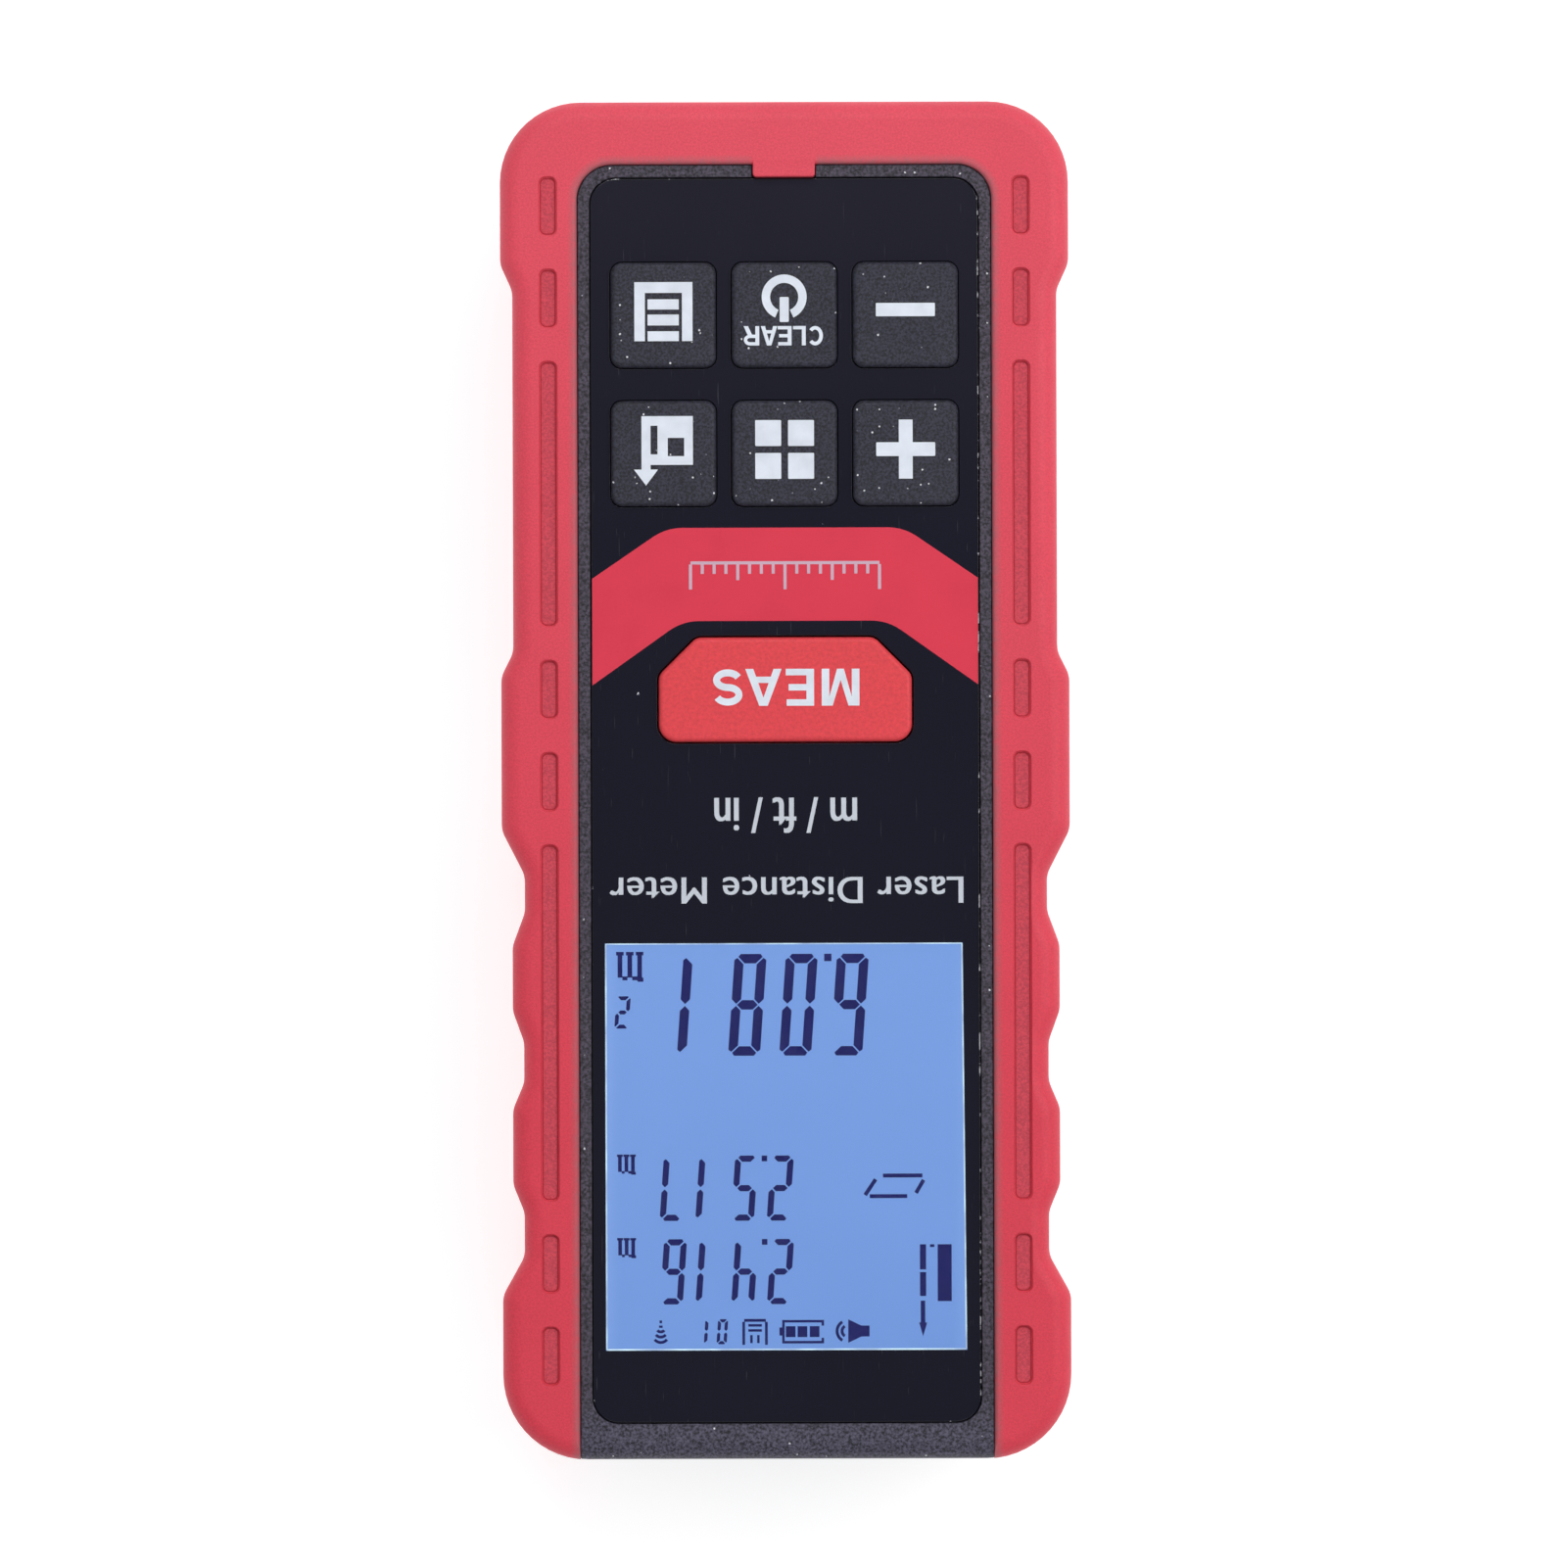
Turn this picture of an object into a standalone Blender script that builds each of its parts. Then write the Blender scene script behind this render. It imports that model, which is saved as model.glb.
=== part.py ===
"""A hand-held laser distance meter: two screwed housing shells with rubber bumpers round them.

It lies on its back with its keys up. +Y points the way the laser leaves, +X to the reader's right,
and the origin is on the surface it rests on, under the middle of the case.
All sizes below are millimetres; new_object() turns them into Blender's metres.
"""

import math

import bmesh
import bpy
from mathutils import Matrix, Vector

MM = 0.001

# Overall size of the case, with its bumpers.
LENGTH, WIDTH, HEIGHT = 118.0, 49.4, 26.5
HALF_LENGTH, HALF_WIDTH = LENGTH / 2, WIDTH / 2
SPLIT_Z = 13.2          # height of the plane where the two shells meet
SPLIT_GAP = 0.1         # each half stays this far from that plane
GAP = 0.15              # clearance between pieces that touch
WALL = 1.6
ARC_FACET, BUMPER_FACET = 30.0, 15.0    # most degrees that one flat of a rounded corner turns

# The bumper's outline: full width at both ends, waisted between, with finger waves near the screen.
TAIL_RADIUS, NOSE_RADIUS, WAVE_RADIUS = 7.0, 7.4, 2.4
HANDLE_HALF_WIDTH, CREST_HALF_WIDTH, TROUGH_HALF_WIDTH = 23.65, 23.78, 22.8
EDGE_RADIUS = 1.8       # rounding along the bumper's long edges

# The shells' core under the bumpers, its raised rims, and the bare nose.
CORE_HALF_WIDTH, CORE_TAIL_Y, CORE_NOSE_Y, CORE_RADIUS = 21.6, -57.0, 56.8, 5.2
RIM_HALF_WIDTH, RIM_TAIL_Y, RIM_RADIUS = 17.93, -53.4, 3.0
BACK_HALF_WIDTH, BACK_TAIL_Y, BACK_NOSE_Y, BACK_RADIUS = 20.4, -55.6, 57.0, 4.0
RIM_TOP, SHOULDER_TOP, CEILING = 26.1, 24.5, 23.3
BACK_BOTTOM, FLOOR = 0.3, 1.9
NOSE_WALL_Y = 56.4      # inner face of the nose wall

# Grip slots in the front bumper.
SLOT_X, SLOT_WIDTH, SLOT_DEPTH, SLOT_SPACE, SLOT_TAIL_Y = 20.5, 1.45, 0.7, 2.9, -52.4
SLOT_SHORT = 5.1
SLOT_LENGTHS = (SLOT_SHORT, SLOT_SHORT, 23.0, SLOT_SHORT, SLOT_SHORT, 30.9, SLOT_SHORT, SLOT_SHORT)
TAB_HALF_WIDTH = 2.7    # rubber tab that crosses the rim at the tail

# Faceplate, screen and keys.
FACE_HALF_WIDTH, FACE_TAIL_Y, FACE_NOSE_Y, FACE_RADIUS = 16.86, -52.3, 55.74, 2.3
FACE_TOP, FACE_BOTTOM = 25.8, 25.0
SCREEN_TAIL_Y, SCREEN_NOSE_Y = 14.1, 49.45
KEY_SIZE, KEY_RADIUS, KEY_TOP = 9.15, 1.4, 26.35
KEY_PITCH_X, KEY_ROWS_Y = 10.5, (-40.4, -28.4)
KEY_ROWS = (("key_minus", "key_power", "key_memory"), ("key_plus", "key_function", "key_reference"))
MEASURE_HALF_WIDTH, MEASURE_TAIL_Y, MEASURE_NOSE_Y = 11.05, -12.5, -3.3
MEASURE_Y = (MEASURE_TAIL_Y + MEASURE_NOSE_Y) / 2
KEY_FLANGE_LOW, KEY_FLANGE_HIGH, KEY_NUB_LOW = 22.2, 23.1, 21.1
KEY_FLANGE_LIP, KEY_CLEARANCE = 0.4, 0.18

# Boards under the face.
BOARD_LOW, BOARD_HIGH, BOARD_HALF_WIDTH, BOARD_TAIL_Y, BOARD_NOSE_Y = 18.0, 19.2, 19.2, -54.4, 50.9
MAT_LOW, MAT_HIGH = 19.4, 20.2

# Battery bay, cells and door.
CELL_RADIUS, CELL_LENGTH, CELL_NIPPLE, CELL_X, CELL_Z = 5.25, 44.5, 0.8, 5.6, 7.5
BAY_HALF_WIDTH, BAY_TAIL_Y, BAY_NOSE_Y, BAY_ROOF, BAY_WALL = 13.2, -52.6, 4.6, 13.1, 1.2
CONTACT_WALL_Y = -2.4   # face of the wall behind the nose-end contacts
CONTACT_THICKNESS = 0.3
HINGE_Y, DOOR_TAIL_Y, DOOR_HALF_WIDTH, DOOR_HIGH = 1.0, -53.1, 13.5, 1.8
DOOR_GAP = 0.3

LABEL_HALF_WIDTH, LABEL_TAIL_Y, LABEL_NOSE_Y = 14.5, 12.0, 46.0     # blank label on the back

# Optics, looking out of the nose.
OPTICS_Z, EMITTER_X, RECEIVER_X = 9.9, -9.7, 5.2
BLOCK_LEFT, BLOCK_RIGHT, BLOCK_TAIL_Y, BLOCK_NOSE_Y, BLOCK_LOW, BLOCK_HIGH = -13.4, 13.4, 22.0, 56.1, 2.3, 17.4
PLATE_HALF_WIDTH, PLATE_LOW, PLATE_HIGH, PLATE_RADIUS = 15.2, 2.9, 17.1, 1.5
PLATE_BACK_Y, PLATE_FRONT_Y = 57.8, 58.9
LENS_RADIUS, BARREL_RADIUS, BARREL_BORE = 7.0, 3.5, 2.4

# Screws: four join the shells, two hold the main board, two hold the optical block.
CASE_SCREWS = ((17.1, -50.0), (-17.1, -50.0), (16.4, 53.8), (-16.4, 53.8))
CASE_SCREW_SEAT = 2.8
BOARD_SCREWS = ((12.0, 4.5), (-12.0, 4.5))
BLOCK_SCREWS = ((-3.9, 32.0), (-3.9, 48.0))

# Finishes: linear red, green, blue, then roughness and metallic.
FINISHES = {
    "rubber_red": ((0.68, 0.035, 0.065), 0.55, 0.0),
    "shell_grey": ((0.055, 0.055, 0.07), 0.6, 0.0),
    "face_black": ((0.012, 0.013, 0.022), 0.12, 0.0),
    "key_black": ((0.035, 0.036, 0.045), 0.65, 0.0),
    "key_red": ((0.72, 0.04, 0.06), 0.5, 0.0),
    "silicone_grey": ((0.2, 0.2, 0.21), 0.7, 0.0),
    "screen_blue": ((0.2, 0.36, 0.8), 0.2, 0.0),
    "plastic_white": ((0.75, 0.75, 0.75), 0.5, 0.0),
    "board_green": ((0.02, 0.16, 0.06), 0.45, 0.0),
    "chip_black": ((0.02, 0.02, 0.02), 0.5, 0.0),
    "cast_aluminium": ((0.35, 0.35, 0.36), 0.45, 1.0),
    "brass": ((0.7, 0.5, 0.22), 0.3, 1.0),
    "steel": ((0.6, 0.6, 0.6), 0.3, 1.0),
    "lens_glass": ((0.8, 0.85, 0.9), 0.05, 0.0),
    "flex_amber": ((0.6, 0.27, 0.05), 0.4, 0.0),
    "cell_wrap": ((0.03, 0.10, 0.05), 0.35, 0.0),
    "label_silver": ((0.5, 0.5, 0.5), 0.4, 0.3),
}


# ---------------------------------------------------------------- scene and materials

def clear_scene():
    for obj in list(bpy.data.objects):
        bpy.data.objects.remove(obj)


def material(finish):
    """The Principled material of that name, made the first time it is asked for."""
    if finish in bpy.data.materials:
        return bpy.data.materials[finish]
    colour, roughness, metallic = FINISHES[finish]
    made = bpy.data.materials.new(finish)
    made.use_nodes = True
    shader = made.node_tree.nodes["Principled BSDF"]
    shader.inputs["Base Color"].default_value = (*colour, 1.0)
    shader.inputs["Roughness"].default_value = roughness
    shader.inputs["Metallic"].default_value = metallic
    return made


def new_object(name, bm):
    """An object in the scene from a bmesh in millimetres, which is freed."""
    bmesh.ops.recalc_face_normals(bm, faces=bm.faces)
    bmesh.ops.scale(bm, vec=(MM, MM, MM), verts=bm.verts)
    mesh = bpy.data.meshes.new(name)
    bm.to_mesh(mesh)
    bm.free()
    obj = bpy.data.objects.new(name, mesh)
    bpy.context.scene.collection.objects.link(obj)
    return obj


def finish_piece(obj, name, finish, origin=(0, 0, 0)):
    """Names a finished piece, gives it its material, and moves its origin without moving its shape."""
    obj.name = obj.data.name = name
    obj.data.materials.clear()
    obj.data.materials.append(material(finish))
    offset = Vector(origin) * MM
    obj.data.transform(Matrix.Translation(-offset))
    obj.location = offset
    obj.data.shade_smooth()
    obj.data.set_sharp_from_angle(angle=math.radians(35))
    return obj


def boolean(target, operation, *others):
    """Joins, cuts or intersects target with each other object, and removes those."""
    for other in others:
        modifier = target.modifiers.new(operation.lower(), "BOOLEAN")
        modifier.operation = operation
        modifier.solver = "EXACT"
        modifier.object = other
        graph = bpy.context.evaluated_depsgraph_get()
        result = bpy.data.meshes.new_from_object(target.evaluated_get(graph))
        target.modifiers.clear()
        target.data = result
        bpy.data.objects.remove(other)
    return target


# ---------------------------------------------------------------- outlines and solids

def rounded(corners, facet=ARC_FACET):
    """Points of a closed outline from (x, y, radius) corners, each corner turned as an arc."""
    points = []
    for i, (x, y, radius) in enumerate(corners):
        corner = Vector((x, y))
        before = (Vector(corners[i - 1][:2]) - corner).normalized()
        after = (Vector(corners[(i + 1) % len(corners)][:2]) - corner).normalized()
        if radius <= 0:
            points.append(corner)
            continue
        half_angle = before.angle(after) / 2
        centre = corner + (before + after).normalized() * radius / math.sin(half_angle)
        start = corner + before * radius / math.tan(half_angle) - centre
        turn = math.pi - 2 * half_angle
        steps = max(2, math.ceil(math.degrees(turn) / facet))
        side = 1 if start.x * (corner - centre).y - start.y * (corner - centre).x > 0 else -1
        for k in range(steps + 1):
            angle = side * turn * k / steps
            points.append(centre + Matrix.Rotation(angle, 2) @ start)
    return points


def mirrored(right_side):
    """Corners of a whole outline from its +X side, listed from tail to nose."""
    return right_side + [(-x, y, r) for x, y, r in reversed(right_side)]


def rectangle(left, right, low, high, radius=0.0):
    corners = [(right, low, radius), (right, high, radius), (left, high, radius), (left, low, radius)]
    return rounded(corners)


def centred(half_width, low, high, radius=0.0):
    return rectangle(-half_width, half_width, low, high, radius)


def circle(radius, centre=(0, 0), steps=24):
    turns = (2 * math.pi * k / steps for k in range(steps))
    return [Vector(centre) + radius * Vector((math.cos(t), math.sin(t))) for t in turns]


def inset(points, distance):
    """The outline moved inwards by a distance, with mitred corners. It runs anticlockwise."""
    moved = []
    for i, point in enumerate(points):
        before = (point - points[i - 1]).normalized()
        after = (points[(i + 1) % len(points)] - point).normalized()
        normals = [Vector((-d.y, d.x)) for d in (before, after)]
        bisector = (normals[0] + normals[1]).normalized()
        moved.append(point + bisector * distance / bisector.dot(normals[0]))
    return moved


def loft(outline, levels):
    """A solid whose section at each (inset, height) level is the outline moved in by that inset."""
    bm = bmesh.new()
    rings = []
    for distance, height in levels:
        section = inset(outline, distance) if distance else outline
        rings.append([bm.verts.new((p.x, p.y, height)) for p in section])
    bridge(bm, rings)
    bm.faces.new(list(reversed(rings[0])))
    bm.faces.new(rings[-1])
    return new_object("solid", bm)


def bridge(bm, rings):
    """Quads between each ring and the next."""
    for low, high in zip(rings, rings[1:]):
        for i in range(len(low)):
            j = (i + 1) % len(low)
            bm.faces.new((low[i], low[j], high[j], high[i]))


def prism(outline, low, high):
    return loft(outline, [(0, low), (0, high)])


def box(left, right, tail, nose, low, high):
    return prism(rectangle(left, right, tail, nose), low, high)


def post(centre, radius, low, high, steps=20):
    """An upright cylinder."""
    return prism(circle(radius, centre, steps), low, high)


def turned(profile, x, z=OPTICS_Z, steps=24, ring=False):
    """A solid turned about a line along Y at (x, z), from (radius, y) points.

    A ring's profile is a closed loop that stays clear of the axis; any other is capped at both ends.
    """
    bm = bmesh.new()
    rings = []
    for radius, y in profile:
        rings.append([bm.verts.new((x + p.x, y, z + p.y)) for p in circle(radius, steps=steps)])
    if ring:
        rings.append(rings[0])
    bridge(bm, rings)
    if not ring:
        bm.faces.new(list(reversed(rings[0])))
        bm.faces.new(rings[-1])
    return new_object("turned", bm)


def bore(x, radius, tail, nose, z=OPTICS_Z, steps=24):
    """A cylinder along Y."""
    return turned([(radius, tail), (radius, nose)], x, z, steps)


def upright_plate(outline_xz, tail, nose):
    """A plate facing +Y, from an outline drawn in x and z."""
    plate = prism([Vector((p.x, p.y)) for p in outline_xz], -nose, -tail)
    plate.data.transform(Matrix.Rotation(math.radians(90), 4, "X"))
    return plate


# ---------------------------------------------------------------- the case

def bumper_outline():
    wave = [
        (HALF_WIDTH, -44.9), (HANDLE_HALF_WIDTH, -42.6),
        (HANDLE_HALF_WIDTH, -11.2), (HALF_WIDTH, -9.1),
        (HALF_WIDTH, 4.3), (TROUGH_HALF_WIDTH - 0.1, 8.2),
        (TROUGH_HALF_WIDTH - 0.1, 11.4), (CREST_HALF_WIDTH, 14.3),
        (CREST_HALF_WIDTH, 20.0), (TROUGH_HALF_WIDTH, 22.7),
        (TROUGH_HALF_WIDTH, 26.2), (CREST_HALF_WIDTH, 28.5),
        (CREST_HALF_WIDTH, 35.1), (TROUGH_HALF_WIDTH, 37.5),
        (TROUGH_HALF_WIDTH, 41.3), (HALF_WIDTH, 44.7),
    ]
    side = [(HALF_WIDTH, -HALF_LENGTH, TAIL_RADIUS)]
    side += [(x, y, WAVE_RADIUS) for x, y in wave]
    side += [(HALF_WIDTH, HALF_LENGTH, NOSE_RADIUS)]
    return rounded(mirrored(side), BUMPER_FACET)


def edge_levels(split, edge):
    """Levels from the split plane to an outer face: an upright wall, then the rounded edge."""
    away = 1 if edge > split else -1
    levels = [(0, split)]
    steps = 3
    for k in range(steps + 1):
        angle = math.radians(90) * k / steps
        drop = EDGE_RADIUS * (1 - math.sin(angle))
        levels.append((EDGE_RADIUS * (1 - math.cos(angle)), edge - away * drop))
    return levels


def front_envelope(top):
    return loft(bumper_outline(), edge_levels(SPLIT_Z + SPLIT_GAP, top))


def rear_envelope(bottom):
    return loft(bumper_outline(), list(reversed(edge_levels(SPLIT_Z - SPLIT_GAP, bottom))))


def core_outline(grow=0.0):
    tail, nose = CORE_TAIL_Y - grow, CORE_NOSE_Y + grow
    return centred(CORE_HALF_WIDTH + grow, tail, nose, CORE_RADIUS + grow)


def rim_outline(grow=0.0):
    """The raised rim round the face, which runs on past the nose."""
    half, tail, past_nose = RIM_HALF_WIDTH + grow, RIM_TAIL_Y - grow, HALF_LENGTH + 2
    return rounded(mirrored([(half, tail, RIM_RADIUS + grow), (half, past_nose, 0)]))


def back_outline(grow=0.0):
    tail, nose = BACK_TAIL_Y - grow, BACK_NOSE_Y + grow
    return centred(BACK_HALF_WIDTH + grow, tail, nose, BACK_RADIUS + grow)


def front_core(grow=0.0):
    core = prism(core_outline(grow), SPLIT_Z - 3, SHOULDER_TOP + grow)
    return boolean(core, "UNION", prism(rim_outline(grow), SPLIT_Z - 2, HEIGHT + 2))


def rear_core(grow=0.0):
    core = prism(core_outline(grow), FLOOR - grow, SPLIT_Z + 3)
    back = prism(back_outline(grow), -2, SPLIT_Z + 2)
    half = RIM_HALF_WIDTH + grow
    nose = box(-half, half, 0, HALF_LENGTH + 2, -1, SPLIT_Z + 1)
    return boolean(core, "UNION", back, nose)


def cavity(low, high):
    """The room inside both shells."""
    room = prism(centred(CORE_HALF_WIDTH - WALL, CORE_TAIL_Y + WALL, CORE_NOSE_Y - WALL, 3.6), low, high)
    half = RIM_HALF_WIDTH - WALL
    return boolean(room, "UNION", box(-half, half, 40, NOSE_WALL_Y, low + 0.01, high - 0.01))


def key_centres():
    """Name and centre of each small key."""
    for names, y in zip(KEY_ROWS, KEY_ROWS_Y):
        for column, name in enumerate(names):
            yield name, ((column - 1) * KEY_PITCH_X, y)


def key_outline(centre, grow=0.0):
    half = KEY_SIZE / 2 + grow
    x, y = centre
    return rectangle(x - half, x + half, y - half, y + half, KEY_RADIUS + grow)


def measure_outline(grow=0.0):
    chamfer = 3.3
    side = [
        (MEASURE_HALF_WIDTH - chamfer, MEASURE_TAIL_Y, 1.2),
        (MEASURE_HALF_WIDTH, MEASURE_TAIL_Y + chamfer, 1.2),
        (MEASURE_HALF_WIDTH, MEASURE_NOSE_Y, 1.6),
    ]
    return inset(rounded(mirrored(side)), -grow)


def key_holes(low, high, grow):
    holes = [prism(key_outline(centre, grow), low, high) for _, centre in key_centres()]
    return holes + [prism(measure_outline(grow), low, high)]


def nose_cutters():
    """The pocket for the nose plate, and the holes behind it."""
    pocket_grow = GAP
    low, high = PLATE_LOW - pocket_grow, PLATE_HIGH + pocket_grow
    outline = centred(PLATE_HALF_WIDTH + pocket_grow, low, high, PLATE_RADIUS)
    pocket = upright_plate(outline, PLATE_BACK_Y - GAP, HALF_LENGTH + 1)
    emitter = bore(EMITTER_X, 3.0, NOSE_WALL_Y - 1, HALF_LENGTH)
    receiver = bore(RECEIVER_X, LENS_RADIUS + 0.2, NOSE_WALL_Y - 1, HALF_LENGTH)
    return pocket, emitter, receiver


def make_front_housing():
    shell = boolean(front_envelope(RIM_TOP), "INTERSECT", front_core())
    shell = boolean(shell, "DIFFERENCE", cavity(SPLIT_Z - 2, CEILING))
    for x, y in CASE_SCREWS:
        shell = boolean(shell, "UNION", post((x, y), 2.5, SPLIT_Z + SPLIT_GAP, CEILING + 0.5))
    for x, y in BOARD_SCREWS:
        shell = boolean(shell, "UNION", post((x, y), 2.0, BOARD_HIGH + GAP, CEILING + 0.5))
    for x, y in CASE_SCREWS:
        shell = boolean(shell, "DIFFERENCE", post((x, y), 1.2, SPLIT_Z - 1, 19.0, steps=12))
    for x, y in BOARD_SCREWS:
        shell = boolean(shell, "DIFFERENCE", post((x, y), 0.95, BOARD_HIGH - 1, 22.7, steps=12))
    recess = centred(FACE_HALF_WIDTH + GAP, FACE_TAIL_Y - GAP, FACE_NOSE_Y + GAP, FACE_RADIUS)
    window = centred(16.4, SCREEN_TAIL_Y - 0.8, SCREEN_NOSE_Y + 0.6, 0.8)
    notch_half = TAB_HALF_WIDTH + 0.1
    return boolean(
        shell, "DIFFERENCE",
        prism(recess, FACE_BOTTOM - 0.1, HEIGHT + 1),
        prism(window, CEILING - 1, HEIGHT),
        box(-notch_half, notch_half, RIM_TAIL_Y - 1, FACE_TAIL_Y + 0.5, FACE_BOTTOM - 0.1, HEIGHT),
        *key_holes(CEILING - 1, HEIGHT, KEY_CLEARANCE),
        *nose_cutters(),
    )


def make_rear_housing():
    shell = boolean(rear_envelope(BACK_BOTTOM), "INTERSECT", rear_core())
    shell = boolean(shell, "DIFFERENCE", cavity(FLOOR, SPLIT_Z + 2))
    outer = BAY_HALF_WIDTH + BAY_WALL
    bay = box(-outer, outer, BAY_TAIL_Y - BAY_WALL, BAY_NOSE_Y + BAY_WALL, FLOOR - 0.5, BAY_ROOF + BAY_WALL)
    shell = boolean(shell, "UNION", bay)
    for x, y in CASE_SCREWS:
        shell = boolean(shell, "UNION", post((x, y), 2.8, FLOOR - 0.5, SPLIT_Z - SPLIT_GAP))
    for x, y in BLOCK_SCREWS:
        shell = boolean(shell, "UNION", post((x, y), 2.1, FLOOR - 0.5, 5.2))
    for x, y in CASE_SCREWS:
        shell = boolean(
            shell, "DIFFERENCE",
            post((x, y), 2.1, -1, CASE_SCREW_SEAT),
            post((x, y), 1.3, 1, SPLIT_Z + 1, steps=12),
        )
    for x, y in BLOCK_SCREWS:
        shell = boolean(shell, "DIFFERENCE", post((x, y), 0.95, 2.4, 6, steps=12))
    opening_half = DOOR_HALF_WIDTH + DOOR_GAP
    shell = boolean(
        shell, "DIFFERENCE",
        box(-BAY_HALF_WIDTH, BAY_HALF_WIDTH, BAY_TAIL_Y, BAY_NOSE_Y, FLOOR, BAY_ROOF),
        box(-opening_half, opening_half, DOOR_TAIL_Y - DOOR_GAP, HINGE_Y, -1, DOOR_HIGH + 0.2),
    )
    contact_wall = box(-10.2, 10.2, CONTACT_WALL_Y, CONTACT_WALL_Y + BAY_WALL, 2.6, BAY_ROOF + 0.5)
    shell = boolean(shell, "UNION", contact_wall)
    for x in (-CELL_X, CELL_X):
        tab_slot = box(x - 1.5, x + 1.5, CONTACT_WALL_Y - 0.6, CONTACT_WALL_Y, BAY_ROOF - 0.5, BAY_ROOF + 3)
        shell = boolean(shell, "DIFFERENCE", tab_slot)
    label = box(-LABEL_HALF_WIDTH - GAP, LABEL_HALF_WIDTH + GAP, LABEL_TAIL_Y - GAP, LABEL_NOSE_Y + GAP, -1, 0.6)
    return boolean(shell, "DIFFERENCE", label, *nose_cutters())


def slot_spans():
    """Tail and nose end of each grip slot in turn."""
    tail = SLOT_TAIL_Y
    for length in SLOT_LENGTHS:
        yield tail, tail + length
        tail += length + SLOT_SPACE


def make_front_bumper():
    rubber = boolean(front_envelope(HEIGHT), "DIFFERENCE", front_core(GAP))
    tab = box(-TAB_HALF_WIDTH, TAB_HALF_WIDTH, RIM_TAIL_Y - 1, FACE_TAIL_Y - 0.12, FACE_BOTTOM + 0.05, RIM_TOP)
    rubber = boolean(rubber, "UNION", tab)
    for side in (-1, 1):
        for tail, nose in slot_spans():
            middle, half = side * SLOT_X, SLOT_WIDTH / 2
            outline = rectangle(middle - half, middle + half, tail, nose, half - 0.01)
            rubber = boolean(rubber, "DIFFERENCE", prism(outline, HEIGHT - SLOT_DEPTH, HEIGHT + 1))
    return rubber


def make_rear_bumper():
    return boolean(rear_envelope(0), "DIFFERENCE", rear_core(GAP))


def make_faceplate():
    outline = centred(FACE_HALF_WIDTH, FACE_TAIL_Y, FACE_NOSE_Y, FACE_RADIUS)
    return boolean(prism(outline, FACE_BOTTOM, FACE_TOP), "DIFFERENCE", *key_holes(20, HEIGHT, KEY_CLEARANCE))


def make_label():
    return box(-LABEL_HALF_WIDTH, LABEL_HALF_WIDTH, LABEL_TAIL_Y, LABEL_NOSE_Y, 0.35, 0.55)


def make_nose_plate():
    plate = upright_plate(
        centred(PLATE_HALF_WIDTH, PLATE_LOW, PLATE_HIGH, PLATE_RADIUS - GAP), PLATE_BACK_Y, PLATE_FRONT_Y
    )
    emitter = bore(EMITTER_X, 2.2, PLATE_BACK_Y - 1, HALF_LENGTH + 1)
    receiver = bore(RECEIVER_X, 6.6, PLATE_BACK_Y - 1, HALF_LENGTH + 1)
    return boolean(plate, "DIFFERENCE", emitter, receiver)


# ---------------------------------------------------------------- keys and switches

def key_levels(top):
    """Levels of a key: the flange that the case holds it in by, its stem, and its rounded top."""
    return [
        (-KEY_FLANGE_LIP, KEY_FLANGE_LOW), (-KEY_FLANGE_LIP, KEY_FLANGE_HIGH), (0, KEY_FLANGE_HIGH),
        (0, top - 0.4), (0.12, top - 0.12), (0.4, top),
    ]


def make_key(outline, centre, top):
    key = loft(outline, key_levels(top))
    return boolean(key, "UNION", post(centre, 1.6, KEY_NUB_LOW, KEY_FLANGE_LOW + 0.5, steps=12))


def make_keypad_mat():
    centres = [centre for _, centre in key_centres()] + [(0, MEASURE_Y)]
    mat = prism(centred(15.6, -46.4, -1.6, 1.5), MAT_LOW, MAT_HIGH)
    for x, y in centres:
        collar = prism(rectangle(x - 4.2, x + 4.2, y - 4.2, y + 4.2), MAT_LOW + 0.1, MAT_HIGH + 0.5)
        mat = boolean(mat, "UNION", collar)
    for x, y in centres:
        mat = boolean(mat, "DIFFERENCE", box(x - 2.9, x + 2.9, y - 2.9, y + 2.9, MAT_LOW - 1, MAT_HIGH + 2))
    return mat


def make_switch(centre):
    x, y = centre
    body = box(x - 2.25, x + 2.25, y - 2.25, y + 2.25, BOARD_HIGH + 0.05, BOARD_HIGH + 0.85)
    return boolean(body, "UNION", post(centre, 1.0, BOARD_HIGH + 0.5, BOARD_HIGH + 1.15, steps=12))


# ---------------------------------------------------------------- boards and screen

def make_main_board():
    board = prism(centred(BOARD_HALF_WIDTH, BOARD_TAIL_Y, BOARD_NOSE_Y, 1.5), BOARD_LOW, BOARD_HIGH)
    for x, y in CASE_SCREWS[:2]:
        board = boolean(board, "DIFFERENCE", post((x, y), 2.9, BOARD_LOW - 1, BOARD_HIGH + 1))
    for x, y in BOARD_SCREWS:
        board = boolean(board, "DIFFERENCE", post((x, y), 1.2, BOARD_LOW - 1, BOARD_HIGH + 1, steps=12))
    return board


def make_screen_frame():
    frame = box(-17.6, 17.6, 10.4, 50.95, BOARD_HIGH + 0.1, 23.05)
    return boolean(frame, "DIFFERENCE", box(-16.95, 16.95, 10.95, 50.45, BOARD_HIGH - 1, 24))


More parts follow.
